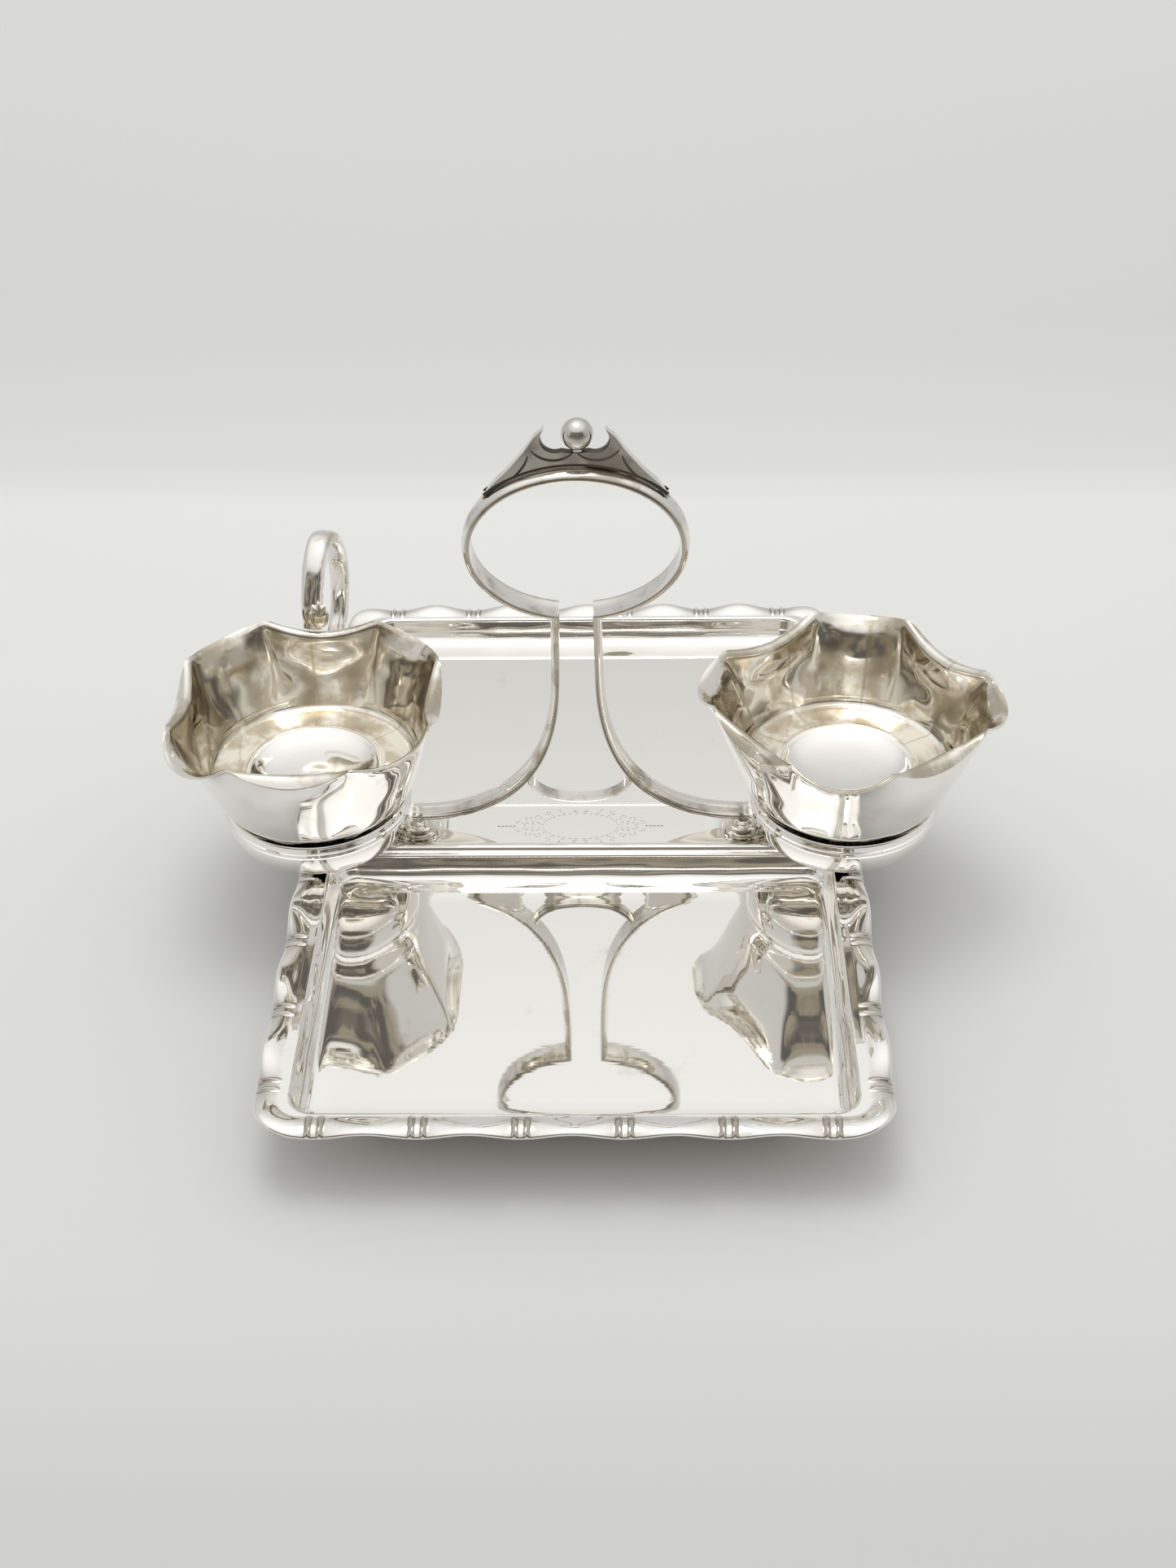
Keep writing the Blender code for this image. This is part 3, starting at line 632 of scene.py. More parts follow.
def press_tray():
    bm = bmesh.new()
    tarnish = bm.verts.layers.float.new("tarnish")
    border = skin(bm, [lifted(border_ring(*row)) for row in BORDER_ROWS])
    # Each row's rib share also sets how much patina and painted shade its vertices take.
    for verts, row in zip(border, BORDER_ROWS):
        for vert, shade in zip(verts, border_shade()):
            vert[tarnish] = shade * row[3]
    bordered = len(bm.faces)
    wells = [skin(bm, [lifted(ring) for ring in well_rings(side)]) for side in (-1, 1)]
    for rows in wells:
        bm.faces.new(rows[-1])
    bridge = skin(bm, [lifted(ring) for ring in bridge_rings()])
    fill_flat(bm, [border[-1], wells[0][0], wells[1][0], bridge[0]])
    holes = []
    for side in (-1, 1):
        hole = bow((side * HANDLE_FOOT_X, HANDLE_FOOT_Y), STUD_RADIUS + 0.4, 0, 345, 23)
        holes.append([bm.verts.new(p) for p in lifted([(x, y, 1.7) for x, y in hole])])
    fill_flat(bm, [bridge[-1], *holes])
    bm.faces.ensure_lookup_table()
    for face in bm.faces[:bordered]:
        face.material_index = 1
    bmesh.ops.recalc_face_normals(bm, faces=bm.faces)
    if sum(face.normal.z * face.calc_area() for face in bm.faces) < 0:
        bmesh.ops.reverse_faces(bm, faces=bm.faces)
    finish = [TRAY_PLATE, BORDER_PLATE]
    tray = finish_piece("tray_sheet", bm, finish, "stand", STAND, ["tray"], 50)
    sheet = tray.modifiers.new("sheet", "SOLIDIFY")
    sheet.thickness = SHEET * MM
    sheet.offset = -1
    return tray


press_tray()

# %% [markdown]
# ## Sockets, feet, discs and ball
#
# These four kinds of piece come from a lathe or a spinning chuck, so a profile says all there is to say.
# A coarse profile with a Subdivision modifier would round everything alike. Written-out profiles keep the
# fine steps crisp: the double line under a socket's lip, the groove between the two discs of a handle foot,
# the little collar under the ball.

# %% Turn the round pieces


def rounded(points, pieces=4):
    return [tuple(p) for p in smooth(points, pieces)]


belly = [(22.5, 0), (24.6, 0.25), (26.6, 1.15), (28.3, 2.9), (29.5, 5.4), (30.15, 8.0), (30.3, 9.6)]
lip = [(30.3, 10.0), (29.9, 10.3), (29.85, 10.7), (30.15, 10.95), (30.4, 11.3), (30.35, 11.7)]
lip += [(29.85, 12.0), (29.75, 12.3), (29.8, 13.6), (29.7, 14.05), (29.5, 14.25), (29.2, 14.25)]
lip += [(29.02, 14.0)]
inside = rounded([(29.0, 13.2), (29.0, 9), (28.4, 5.5), (27.2, 2.6), (25.2, 1.3), (23.0, 1.2)], 3)
SOCKET_PROFILE = [(0, 0), *rounded(belly), *lip, *inside, (0, 1.2)]
for side, label in ((JUG_AXIS, "jug"), (BOWL_AXIS, "bowl")):
    place = (side.x, 0, SOCKET_Z)
    replaced = [f"{label}_socket"]
    turned(f"{label}_cup", SOCKET_PROFILE, TRAY_PLATE, "stand", place, replaced, 144)

foot_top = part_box("foot_front_left")[1].z / MM
neck = [(5.4, foot_top - 0.3), (5.2, foot_top - 1.1), (4.1, foot_top - 2.0), (3.4, foot_top - 3.0)]
knob = [(3.5, 9.2), (4.4, 8.7), (6.2, 7.2), (7.15, 4.9), (6.9, 2.6), (5.7, 0.8), (4.5, 0.1)]
FOOT_PROFILE = [(0, foot_top), (5.1, foot_top), *rounded(neck), *rounded(knob), (4.2, 0), (0, 0)]
for name in ("foot_front_left", "foot_front_right", "foot_back_left", "foot_back_right"):
    low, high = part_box(name)
    place = ((low.x + high.x) / 2, (low.y + high.y) / 2, 0)
    turned(f"bun_{name}", FOOT_PROFILE, TRAY_PLATE, "stand", place, [name], 64)

DISCS = [(0, 5.0), (1.9, 5.0), (2.1, 4.8), (2.15, 3.9), (2.3, 3.6), (2.9, 3.45), (3.4, 3.6), (3.7, 3.75)]
DISCS += [(4.3, 3.75), (4.75, 3.5), (4.9, 3.1), (4.75, 2.7), (4.4, 2.45), (4.3, 2.3), (4.5, 2.15)]
DISCS += [(5.2, 2.05), (5.6, 1.75), (5.7, 1.3), (5.6, 0.75), (5.3, 0.4), (4.8, 0.3)]
DISCS += [(1.9, 0.3), (1.9, -6.6), (0, -6.6)]
for label, side in (("left", -1), ("right", 1)):
    place = STAND + Vector((side * HANDLE_FOOT_X, HANDLE_FOOT_Y, 0)) * MM
    place.z = RIM_Z + BRIDGE_RISE
    name = f"handle_foot_{label}"
    turned(f"discs_{label}", DISCS, STRAP_PLATE, "stand", place, [name], 64)

BALL_RADIUS, BALL_HEIGHT, BALL_X = 4.65, 145.3, 1.5
ball_rows = [(BALL_RADIUS * sin(a), BALL_RADIUS * cos(a)) for a in np.linspace(0, radians(152), 40)]
collar = [(2.0, -4.35), (1.75, -4.5), (1.75, -5.0), (0, -5.0)]
place = STAND + Vector((BALL_X * MM, 0, RIM_Z + BALL_HEIGHT * MM))
ball_profile = [(0, BALL_RADIUS), *ball_rows[1:], *collar]
turned("polished_ball", ball_profile, BALL_PLATE, "stand", place, ["ball_finial"], 96)

# %% [markdown]
# ## The strap handle
#
# One half-round strap runs up from the left foot, bends sharply out into a finger loop, comes round and goes
# down to the right foot. A curve object with a bevel profile can do this, but it rounds the two mitred
# corners at the neck, which are what gives the handle its character. So the sections are placed one by one: a
# cubic curve for each leg, a slightly leaning ellipse for the loop, and one stretched section at each mitre,
# with nothing closer to it than the strap is thick. The inner face is a little hollow, as rolled strap is.

# %% Bend the strap
STRAP_THICK, STRAP_EDGE = 2.6, 0.4
NECK = Vector((-5.2, 86.0))
LOOP_X, LOOP_TOP, LOOP_LEAN = 31.4, 132.5, 0.8
LOOP_HALF = (LOOP_TOP - NECK.y) / (1 + sqrt(1 - (NECK.x / LOOP_X) ** 2))
LOOP_MIDDLE = LOOP_TOP - LOOP_HALF
LOOP_STEPS, NECK_STEPS = 120, 3
NOTCH = 3


def cubic(a, b, c, d, t):
    u = 1 - t
    return a * u**3 + b * (3 * u * u * t) + c * (3 * u * t * t) + d * t**3


def leg_line():
    """The left leg's inner face from its foot up to the neck, in (x, height over the rim)."""
    knees = [Vector(p) for p in ((-54.9, 7.0), (-25.0, 6.2), (-6.2, 24.0), (-5.6, 62.0))]
    shares = [0, 0.012, 0.017, 0.021, 0.026, *np.linspace(0.04, 1, 44)]
    return [cubic(*knees, t) for t in shares] + [NECK.copy()]


def loop_line():
    """The loop's inner face, clockwise from just past the neck."""
    start = atan2((NECK.y - LOOP_MIDDLE) / LOOP_HALF, NECK.x / LOOP_X) % tau
    sweep = tau - 2 * (1.5 * pi - start)
    found = []
    for i in range(NECK_STEPS, LOOP_STEPS - NECK_STEPS + 1):
        a = start - sweep * i / LOOP_STEPS
        spot = Vector((LOOP_X * cos(a), LOOP_MIDDLE + LOOP_HALF * sin(a)))
        spot.x += LOOP_LEAN * (spot.y - NECK.y) / (LOOP_TOP - NECK.y)
        found.append(spot)
    return found


def strap_section(width):
    """(across, height over the inner face) round the half-round strap."""
    half = width / 2
    rise = STRAP_THICK - STRAP_EDGE
    dome = [(half * cos(a), STRAP_EDGE + rise * sin(a)) for a in np.linspace(pi, 0, 17)]
    hollow = [(half * s, 0.38 * (1 - (s / 0.86) ** 2)) for s in np.linspace(0.86, -0.86, 9)]
    return [(-half + 0.15, 0), (-half, 0.18), *dome, (half, 0.18), (half - 0.15, 0), *hollow]


def sweep_along(line, sections, lift=RIM_Z / MM):
    """Rings along a line in (x, height), each section standing square to the line."""
    rings = []
    for i, here in enumerate(line):
        back = (here - line[i - 1]).normalized() if i else (line[1] - here).normalized()
        ahead = (line[i + 1] - here).normalized() if i < len(line) - 1 else back
        bisector = (back + ahead).normalized()
        out = Vector((-bisector.y, bisector.x))
        stretch = 1 / max(bisector.dot(back), 0.5)
        ring = []
        for across, height in sections[i]:
            spot = here + out * height * stretch
            ring.append(Vector((spot.x, across, spot.y + lift)) * MM)
        rings.append(ring)
    return rings


def bend_strap():
    leg = leg_line()
    line = leg + loop_line() + [Vector((-p.x, p.y)) for p in reversed(leg)]
    sections = []
    for i in range(len(line)):
        from_foot = min(i, len(line) - 1 - i)
        section = strap_section(8.0 + 1.6 * min(from_foot / 46, 1))
        if from_foot == NOTCH:
            section = [(across * 0.92, 0.25 + height * 0.84) for across, height in section]
        sections.append(section)
    bm = bmesh.new()
    rows = skin(bm, sweep_along(line, sections))
    bm.faces.new(rows[0])
    bm.faces.new(rows[-1])
    return finish_piece("strap_loop", bm, STRAP_PLATE, "stand", STAND, ["handle_strap"], 40)


def bend_brace():
    start, low = Vector((-15.8, 21.6)), Vector((0, 14.0))
    half = [cubic(start, Vector((-12.9, 14.6)), Vector((-5, 14.0)), low, t) for t in np.linspace(0, 1, 25)]
    line = half + [Vector((-p.x, p.y)) for p in reversed(half[:-1])]
    dome = [(2.2 * cos(a), -0.5 - 1.5 * sin(a)) for a in np.linspace(pi, 0, 15)]
    section = [(-2.2, -0.1), *dome, (2.2, -0.1), (2.1, 0), (-2.1, 0)]
    bm = bmesh.new()
    rows = skin(bm, sweep_along(line, [section] * len(line)))
    bm.faces.new(rows[0])
    bm.faces.new(rows[-1])
    replaced = ["handle_brace"]
    return finish_piece("half_round_brace", bm, STRAP_PLATE, "stand", STAND, replaced)


bend_strap()
bend_brace()

# %% [markdown]
# ## The crest
#
# The crest is a flat plate cut with two bays, so that it looks like a pair of wings with the ball between
# their horns. Its face is left dull and toned, its edge is polished except round the two bays, whose cut
# edges take the black finish, and lines are chased into the face and blacked. Lines this fine could be a
# bump, but a bump has no colour of its own at a distance; narrow dark ribbons laid a few hundredths of a
# millimetre proud of the face keep their sharp ends from any view.

# %% Cut and chase the crest
CREST_HALF = 1.2
BAY, BAY_RADIUS, BAY_POINTS = Vector((5.7, 144.2)), 4.2, 25
WING_TIP, HORN_TIP = (27.4, 125.4), (8.9, 147.3)


def crest_half_outline():
    """From the wing's tip up to the horn and round the bay to the middle."""
    wing = smooth([WING_TIP, (24.2, 130.0), (20.0, 134.3), (15.1, 140.2), (12.0, 144.6), HORN_TIP], 6)
    return [tuple(p) for p in wing] + bow(BAY, BAY_RADIUS, 12, -114, BAY_POINTS - 1) + [(2.0, 140.0)]


def loop_outside(x, reach):
    """Height of the loop's outer side, `reach` outside its inner face."""
    return LOOP_MIDDLE + (LOOP_HALF + reach) * sqrt(1 - (x / (LOOP_X + reach)) ** 2)


def inset_outline(outline, amount, tips):
    """The outline drawn in by a small amount, for a bevel that dies out towards the tips."""
    moved = []
    count = len(outline)
    for i, here in enumerate(outline):
        back = Vector(outline[i - 1]) - Vector(here)
        ahead = Vector(outline[(i + 1) % count]) - Vector(here)
        along = (ahead.normalized() - back.normalized()).normalized()
        reach = min((Vector(here) - Vector(tip)).length for tip in tips)
        moved.append(Vector(here) + Vector((along.y, -along.x)) * amount * min(reach / 6, 1))
    return moved


def cut_crest():
    half = crest_half_outline()
    under = [(x, loop_outside(x, STRAP_THICK + 0.2)) for x in np.linspace(-27.2, 27.2, 61)]
    outline = half + [(-x, z) for x, z in reversed(half)] + under
    signed = sum(a[0] * b[1] - b[0] * a[1] for a, b in zip(outline, outline[1:] + outline[:1]))
    tips = [(side * x, z) for side in (-1, 1) for x, z in (WING_TIP, HORN_TIP)]
    bevel = inset_outline(outline, 0.32 if signed < 0 else -0.32, tips)
    flats = [(bevel, -CREST_HALF), (outline, -CREST_HALF + 0.3)]
    flats += [(outline, CREST_HALF - 0.3), (bevel, CREST_HALF)]
    bm = bmesh.new()
    rings = [[(x * MM, y * MM, RIM_Z + z * MM) for x, z in ring] for ring, y in flats]
    rows = skin(bm, rings)
    bm.faces.ensure_lookup_table()
    count = len(outline)
    # The cut edges round the two bays take the black finish, so they read dark.
    bay = range(len(half) - BAY_POINTS - 1, len(half) + BAY_POINTS)
    for i, face in enumerate(bm.faces):
        if i % count in bay:
            face.material_index = 2
    for row in (rows[0], rows[-1]):
        bm.faces.new(row).material_index = 1
    place = STAND + Vector((LOOP_LEAN * MM, 0, 0))
    finish = [EDGE_PLATE, CREST_FACE, CHASING]
    return finish_piece("winged_crest", bm, finish, "stand", place, ["handle_crest"], 30)


def ribbon(bm, line, widths, height, place):
    """A flat ribbon along a line in a plane; `place` turns (u, v, height) into a point in millimetres."""
    rows = []
    for i, here in enumerate(line):
        along = Vector(line[min(i + 1, len(line) - 1)]) - Vector(line[max(i - 1, 0)])
        side = Vector((-along.y, along.x)).normalized() * widths[i] / 2
        both = (Vector(here) - side, Vector(here) + side)
        rows.append([Vector(place(p.x, p.y, height)) * MM for p in both])
    skin(bm, rows, closed=False)


def taper(count, wide, tip=0.25):
    """Widths that swell from a fine tip to the middle and back."""
    return [wide * (tip + (1 - tip) * sin(pi * i / (count - 1)) ** 0.5) for i in range(count)]


def on_crest(face):
    """Places a flat drawing on the crest's front (-1) or back (1)."""
    return lambda u, v, height: (u, face * (CREST_HALF + height), RIM_Z / MM + v)


def on_bridge(u, v, height):
    """Places a flat drawing on the bridge, a little off its middle."""
    return u - 0.2, v - 0.8, (RIM_Z + BRIDGE_RISE) / MM + height


def chase_crest():
    bm = bmesh.new()
    arc = bow((0, 0), 9.2, 215, 317, 20)
    lines = []
    for side in (-1, 1):
        round_bay = [(side * (BAY.x + 0.6 - x * 0.86), BAY.y + 1.1 + y * 0.86) for x, y in arc]
        lines.append((round_bay, 0.85))
        flank = smooth([(13.5, 138.9), (14.6, 136.2), (16.6, 133.4), (19.0, 131.2)], 6)
        lines.append(([(side * p[0], p[1]) for p in flank], 0.75))
    for face in (-1, 1):
        for line, wide in lines:
            ribbon(bm, line, taper(len(line), wide), 0.03, on_crest(face))
        xs = np.linspace(-26.8, 26.8, 70)
        band = [(x, loop_outside(x, STRAP_THICK + 0.75)) for x in xs]
        widths = [0.75 + 0.5 * max(abs(x) - 19, 0) / 8 for x in xs]
        ribbon(bm, band, widths, 0.04, on_crest(face))
    place = STAND + Vector((LOOP_LEAN * MM, 0, 0))
    return finish_piece("crest_chasing", bm, CHASING, "stand", place)


cut_crest()
chase_crest()

# %% [markdown]
# ## The engraved cartouche
#
# A small frame of bright-cut strokes lies in the middle of the bridge. Such work is made of short separate
# cuts, each fine at its ends and broad in its middle. A texture would blur them, so every cut is a tiny
# ribbon. The frame here is a plain, general one: a broken oval, pairs of scrolls beside it, and a row of
# dashes that runs out to a point at each end.

# %% Engrave the bridge


def scroll(center, radius, start, turn, steps=9):
    """A short spiral cut."""
    found = []
    for i in range(steps):
        a = radians(start + turn * i / (steps - 1))
        r = radius * (1 - 0.55 * i / (steps - 1))
        found.append((center[0] + r * cos(a), center[1] + r * 0.8 * sin(a)))
    return found


def quarter_cuts():
    """The cuts of one quarter of the frame, round (0, 0)."""
    cuts = []
    for i in range(9):
        a = radians(4 + 9.6 * i)
        b = a + radians(6.0)
        cuts.append(([(12.4 * cos(c), 6.6 * sin(c)) for c in (a, (a + b) / 2, b)], 0.16))
        if i % 2 == 0:
            cuts.append(([(13.4 * cos(c), 7.5 * sin(c)) for c in (a, (a + b) / 2, b)], 0.13))
    spirals = [((15.2, 1.6), 1.5, 200, -300), ((18.2, 1.0), 1.2, 160, -280), ((14.3, 4.6), 1.4, 240, -290)]
    spirals += [((17.4, 3.7), 1.3, 180, -260), ((10.8, 7.0), 1.2, 300, -270), ((20.6, 1.9), 1.0, 150, -250)]
    spirals += [((7.2, 8.1), 0.8, 250, -240), ((2.2, 8.2), 0.8, 300, -240)]
    for center, radius, start, turn in spirals:
        whole = scroll(center, radius, start, turn)
        for first in (0, 3, 6):
            cuts.append((whole[first : first + 3], 0.18))
    for i in range(5):
        x = 21.4 + 1.25 * i
        cuts.append(([(x, 0.1), (x + 0.45, 0.32 - 0.05 * i), (x + 0.9, 0.1)], 0.20))
    return cuts


def engrave_bridge():
    bm = bmesh.new()
    for side_x in (-1, 1):
        for side_y in (-1, 1):
            for line, wide in quarter_cuts():
                turned_line = [(side_x * x, side_y * y) for x, y in line]
                ribbon(bm, turned_line, [wide * 0.5, wide, wide * 0.4], 0.02, on_bridge)
    return finish_piece("bridge_engraving", bm, ENGRAVING, "stand", STAND)


engrave_bridge()

# %% [markdown]
# ## The jug and the bowl
#
# Each vessel is raised from sheet: a plain foot, a cone, and a rim where eight points stand up. Between the
# points, four arcs bulge outward and four roll over like a petal's edge. The wall is a grid of rings. Every
# ring blends three outlines (at the points, in the bulging arcs, in the rolled ones), so the creases that
# run down from the points fade by themselves. A little noise moves the whole grid, because a hammer finished
# it. The inner side is the outer one moved in along its normals, and a half round joins them at the lip.

# %% Draw the wall
WALL_ROWS = [
    ((24.6, 0.0), (24.6, 0.0), (24.6, 0.0)),
    ((26.4, 2.5), (26.4, 2.5), (26.4, 2.5)),
    ((28.6, 12.5), (28.6, 12.5), (28.6, 12.5)),
    ((32.2, 18.5), (32.3, 18.5), (32.0, 18.5)),
    ((36.3, 28.5), (36.6, 28.5), (35.6, 28.5)),
    ((40.2, 38.5), (40.2, 38.5), (37.9, 37.3)),
    ((43.0, 46.5), (43.4, 44.7), (37.6, 43.5)),
    ((44.0, 50.2), (46.2, 47.2), (37.8, 47.2)),
    ((44.6, 51.4), (47.5, 48.0), (39.6, 47.7)),
    ((45.0, 52.0), (48.4, 48.2), (41.9, 45.4)),
]
HIGH_ARC, PERIOD = radians(40), radians(90)
LEAN_FROM, LEAN_DROP = 40.0, 0.6
WALL = 0.9
LIP_BACK = 0.55
DENT = 0.26
JUG_TURN, BOWL_TURN = radians(45), radians(-8.7)
JUG_BULGES, BOWL_BULGES = (-1.8, -1.8, 1.6, -1.8), (0, 0, 0, 0)


def lobe_at(angle, turn):
    """1 in a bulging arc or 2 in a rolled one, and 0 at its ends to 1 in its middle."""
    away = abs((angle - turn + PERIOD / 2) % PERIOD - PERIOD / 2)
    if away <= HIGH_ARC / 2:
        return 1, 1 - (away / (HIGH_ARC / 2)) ** 2
    across = (PERIOD / 2 - away) / ((PERIOD - HIGH_ARC) / 2)
    return 2, 1 - across**2


def wall_angles(turn, steps=18):
    """Angles that fall on every point of the rim."""
    found = []
    for i in range(4):
        start = turn + PERIOD * i - HIGH_ARC / 2
        found += [start + HIGH_ARC * j / steps for j in range(steps)]
        found += [start + HIGH_ARC + (PERIOD - HIGH_ARC) * j / steps for j in range(steps)]
    return found


def wall_grid(turn, bulges, dent):
    """The wall's outer side as an array: rows from the foot up, then columns round, then (x, y, z)."""
    kinds = [np.array(smooth([row[kind] for row in WALL_ROWS], 6)) for kind in range(3)]
    columns = []
    for angle in wall_angles(turn):
        kind, share = lobe_at(angle, turn)
        radius, height = (kinds[0] + (kinds[kind] - kinds[0]) * share).T
        if kind == 1:
            lean = np.clip((kinds[1][:, 0] - LEAN_FROM) / (WALL_ROWS[-1][1][0] - LEAN_FROM), 0, None)
            extra = bulges[round((angle - turn) / PERIOD) % 4] * lean * share
            radius = radius + extra
            height = height - extra * LEAN_DROP
        columns.append(np.stack([radius * cos(angle), radius * sin(angle), height], axis=1))
    grid = np.stack(columns, axis=1)
    for point in grid.reshape(-1, 3):
        swell = noise.noise(Vector(point) / 9.0 + Vector((turn, 3, 1)) * 5)
        share = min(max((point[2] - 3) / 12, 0), 1) * min(max((52 - point[2]) / 14, 0.25), 1)
        out = Vector((point[0], point[1])).normalized()
        point[:2] += np.array(out) * swell * dent * share
    return grid


def outward(grid):
    """The grid's normals, and its direction up the wall."""
    around = np.roll(grid, -1, axis=1) - np.roll(grid, 1, axis=1)
    upward = np.gradient(grid, axis=0)
    normals = np.cross(around, upward)
    normals /= np.linalg.norm(normals, axis=2, keepdims=True)
    return normals, upward / np.linalg.norm(upward, axis=2, keepdims=True)


print("points round the rim:", len(wall_angles(JUG_TURN)))

# %% [markdown]
# The inner side is darker and warmer than the outer one: painted shade and painted warm reflections of the
# hollow, and the seams of the sheet show there. So the mesh is closed as one wall and its inner faces take a
# second finish. The jug and the bowl share the drawing and differ in how far they are turned and how far
# their arcs bulge.

# %% Raise the vessels


def raise_vessel(name, turn, bulges, finishes, body, axis, replaced):
    grid = wall_grid(turn, bulges, DENT)
    normals, upward = outward(grid)
    grid[-1] -= upward[-1] * WALL * LIP_BACK
    inner = grid - normals * WALL
    middle = (grid[-1] + inner[-1]) / 2
    rings = list(grid)
    for a in (30, 60, 90, 120, 150):
        rings.append(middle + (normals[-1] * cos(radians(a)) + upward[-1] * sin(radians(a))) * WALL / 2)
    rings += list(inner[::-1])
    bm = bmesh.new()
    rows = skin(bm, [[Vector(p) * MM for p in ring] for ring in rings])
    bm.faces.ensure_lookup_table()
    for face in bm.faces[(len(grid) + 2) * len(rows[0]) :]:
        face.material_index = 1
    for i in range(len(rows[0])):
        j = (i + 1) % len(rows[0])
        bm.faces.new((rows[-1][i], rows[-1][j], rows[0][j], rows[0][i]))
    return finish_piece(name, bm, finishes, body, axis, [replaced], 70)


# The inner finishes are darker and warmer than the outer one: painted shade and painted warm reflections of
# the hollow, with the seam lines.
INSIDE, INSIDE_PAINTED_SHADE = (0.875, 0.845, 0.775), (0.58, 0.52, 0.42)
JUG_SEAMS, BOWL_SEAMS = (97, 141, 40), (118, 78, 150, 30)
OUTSIDE = silver_finish("vessel_outside", BRIGHT, TONED, 0.60, 0.82, 0.04, 0.35)
JUG_INSIDE = silver_finish("jug_inside", INSIDE, INSIDE_PAINTED_SHADE, 0.44, 0.60, 0.05, 0.9, seams=JUG_SEAMS)
BOWL_INSIDE = silver_finish("bowl_inside", INSIDE, INSIDE_PAINTED_SHADE, 0.44, 0.60, 0.05, 0.9, seams=BOWL_SEAMS)
DISH_FINISH = silver_finish("dish_silver", (0.92, 0.90, 0.86), TONED, 0.56, 0.80, 0.04, 0.3)
jug_finishes, bowl_finishes = [OUTSIDE, JUG_INSIDE], [OUTSIDE, BOWL_INSIDE]
raise_vessel("jug_wall", JUG_TURN, JUG_BULGES, jug_finishes, "cream_jug", JUG_AXIS, "jug_body")
raise_vessel("bowl_wall", BOWL_TURN, BOWL_BULGES, bowl_finishes, "sugar_bowl", BOWL_AXIS, "bowl_body")

# %% [markdown]
# The bottom of each vessel is a separate plate let into the wall: a shallow dish, a raised ridge round it, a
# flat ring and a tight fillet that meets the wall. A plate like this is spun, so one profile gives it all.
# The dish catches the light and is cleaner than the ring beyond the ridge, whose faces take the inner wall's
# finish with its painted shade.

# %% Spin the plates
DISH = rounded([(0, 19.8), (6, 19.9), (12, 20.35), (16, 21.1), (18.7, 22.1), (19.9, 22.75)])
DISH += [(20.3, 23.05), (20.9, 23.2), (21.5, 23.1), (21.9, 22.85), (22.4, 22.7), (23.2, 22.65)]
DISH += [(24.0, 22.65)]
DISH += rounded([(30.6, 22.65), (31.6, 22.75), (32.5, 23.1), (33.2, 23.75), (33.7, 24.8), (34.0, 25.8)])
DISH += [(33.9, 24.6), (33.0, 22.6), (31.6, 21.9), (23.0, 21.8), (18.5, 21.2), (12, 19.5), (0, 18.9)]
DISH_RIDGE = 22.0


def spin_plate(vessel, finishes, body, axis):
    replaced = [f"{vessel}_bottom"]
    plate = turned(f"{vessel}_dish", DISH, DISH_FINISH, body, axis, replaced, 144)
    plate.data.materials.append(finishes[1])
    for face in plate.data.polygons:
        if face.center.xy.length > DISH_RIDGE * MM:
            face.material_index = 1


spin_plate("jug", jug_finishes, "cream_jug", JUG_AXIS)
spin_plate("bowl", bowl_finishes, "sugar_bowl", BOWL_AXIS)

# %% [markdown]
# ## The jug's handle
#
# The handle is a cast scroll with a soft, nearly square section: it starts over the rolled lip at the back,
# rises above the rim and comes back towards the wall. It was soldered on slightly askew, so its plane is
# turned. A small shell-shaped leaf covers its start and a bud sits inside its back strand. The leaf is a
# dome whose upper half is fluted with a cosine, which is quicker to shape than a sculpt and stays clean.

# %% Cast the handle, the leaf and the bud
HANDLE_ROUTE = [(40.6, 49.7), (42, 58), (47.5, 68.2), (56, 73.5), (65, 69), (70, 59), (69, 46)]
HANDLE_ROUTE += [(62, 35.5), (50, 30.5), (37.0, 28.6)]
HANDLE_HALVES = [3.4, 3.6, 3.8, 3.9, 3.7, 3.5, 3.2, 2.9, 2.6, 2.2]
HANDLE_TURN, HANDLE_SHIFT = radians(-11), -2.8


def squared(share, power=0.72):
    """Pushes a sine or a cosine outward and keeps its sign."""
    return abs(share) ** power * (1 if share > 0 else -1)


def soft_square(half_x, half_y, steps=28):
    """A closed section between an ellipse and a rectangle."""
    turns = [tau * i / steps for i in range(steps)]
    return [(half_x * squared(cos(a)), half_y * squared(sin(a))) for a in turns]


def askew(point):
    """Turns a point about the handle's root and shifts it sideways."""
    root = Vector((0, HANDLE_ROUTE[0][0], 0))
    turn = Matrix.Rotation(HANDLE_TURN, 3, "Z")
    return root + Vector((HANDLE_SHIFT, 0, 0)) + turn @ (Vector(point) - root)


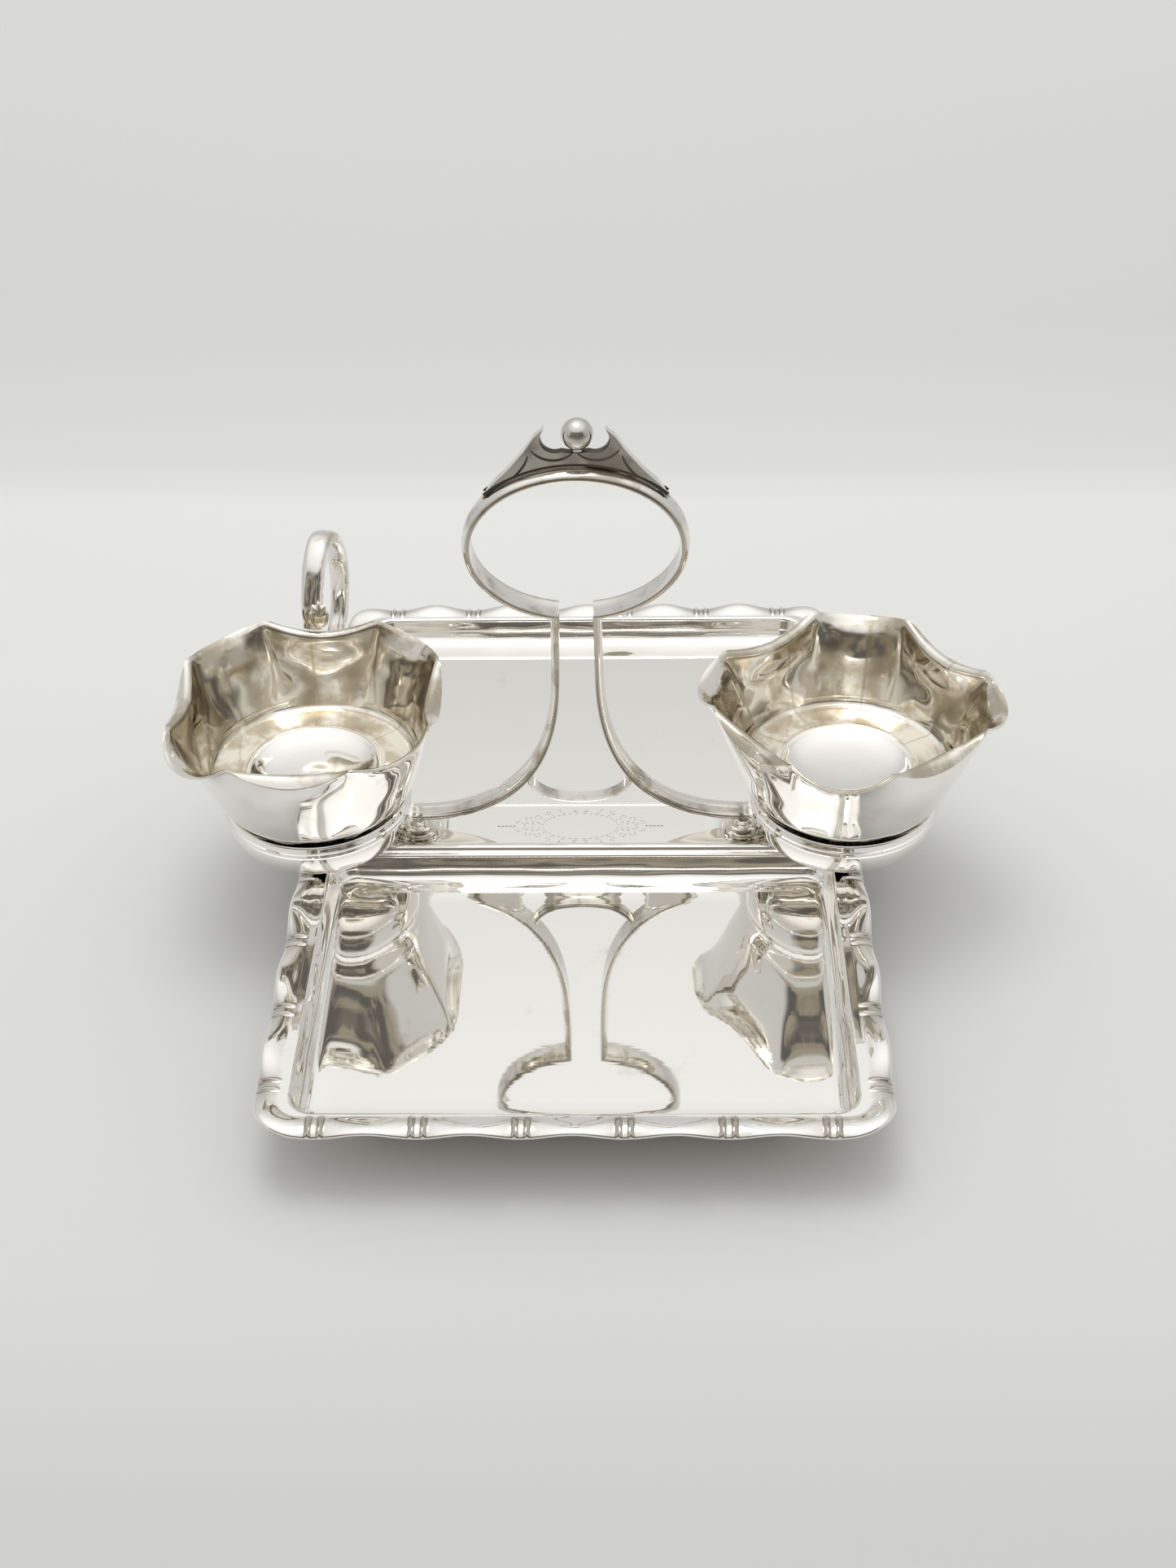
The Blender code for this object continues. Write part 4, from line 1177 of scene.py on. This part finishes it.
def cast_handle():
    spine = [Vector((0, p[0], p[1])) for p in smooth(HANDLE_ROUTE, 12)]
    halves = [float(h[0]) for h in smooth([(h,) for h in HANDLE_HALVES], 12)]
    rings = []
    for i, here in enumerate(spine):
        along = (spine[min(i + 1, len(spine) - 1)] - spine[max(i - 1, 0)]).normalized()
        across = Vector((1, 0, 0))
        out = across.cross(along)
        waist = 1 - 0.10 * exp(-((i - 3.0) ** 2) / 3)
        section = soft_square(halves[i] * waist, halves[i] * 0.62 * waist)
        rings.append([askew(here + across * u + out * v) * MM for u, v in section])
    bm = bmesh.new()
    rows = skin(bm, rings)
    bm.faces.new(rows[0])
    bm.faces.new(rows[-1])
    replaced = ["jug_handle"]
    return finish_piece("scroll_handle", bm, HANDLE_PLATE, "cream_jug", JUG_AXIS, replaced)


def shell_leaf():
    bm = bmesh.new()
    rings = []
    for v in np.linspace(0.02, 1, 30):
        ring = []
        for i in range(72):
            a = tau * i / 72
            upper = max(sin(a), 0) ** 0.5
            flute = 1 + 0.13 * cos(9 * (a - pi / 2)) * upper * v
            rise = sqrt(max(1 - v**2, 0)) * (1 - 0.12 * (1 - cos(9 * (a - pi / 2))) * upper * v)
            ring.append(Vector((3.2 * v * cos(a) * flute, -1.3 * rise, 4.4 * v * sin(a) * flute)) * MM)
        rings.append(ring)
    rows = skin(bm, rings)
    bm.faces.new(rows[0])
    bm.faces.new(rows[-1])
    place = JUG_AXIS + Vector((0.2, 37.9, 55.8)) * MM
    tilt = (radians(-14), 0, 0)
    replaced = ["jug_handle_leaf"]
    return finish_piece("shell_leaf", bm, LEAF_PLATE, "cream_jug", place, replaced, 60, tilt)


def small_bud():
    """A little star-shaped bud inside the handle's back strand."""
    bm = bmesh.new()
    rings = []
    for v in np.linspace(0.02, 1, 12):
        ring = []
        for i in range(48):
            a = tau * i / 48
            reach = (1.5 + 0.5 * cos(4 * a)) * v
            ring.append(Vector((reach * cos(a), -1.1 * sqrt(max(1 - v**2, 0)), reach * 1.3 * sin(a))) * MM)
        rings.append(ring)
    rows = skin(bm, rings)
    bm.faces.new(rows[0])
    bm.faces.new(rows[-1])
    place = JUG_AXIS + askew((0, 67.6, 58.0)) * MM
    tilt = (0, 0, HANDLE_TURN)
    return finish_piece("handle_bud", bm, LEAF_PLATE, "cream_jug", place, (), 60, tilt)


cast_handle()
shell_leaf()
small_bud()

# %% [markdown]
# ## What stays as it was
#
# The washers and nuts under the bridge are plain turned and six-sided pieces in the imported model, and their
# flat faces are right as they are. They keep their nodes and only get a worn nickel finish.

# %% Finish the nuts and the washers
for name in ("foot_washer_left", "foot_washer_right", "foot_nut_left", "foot_nut_right"):
    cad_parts[name].material_slots[0].material = NUT_METAL
    print(name, "kept, finished with", NUT_METAL.name)
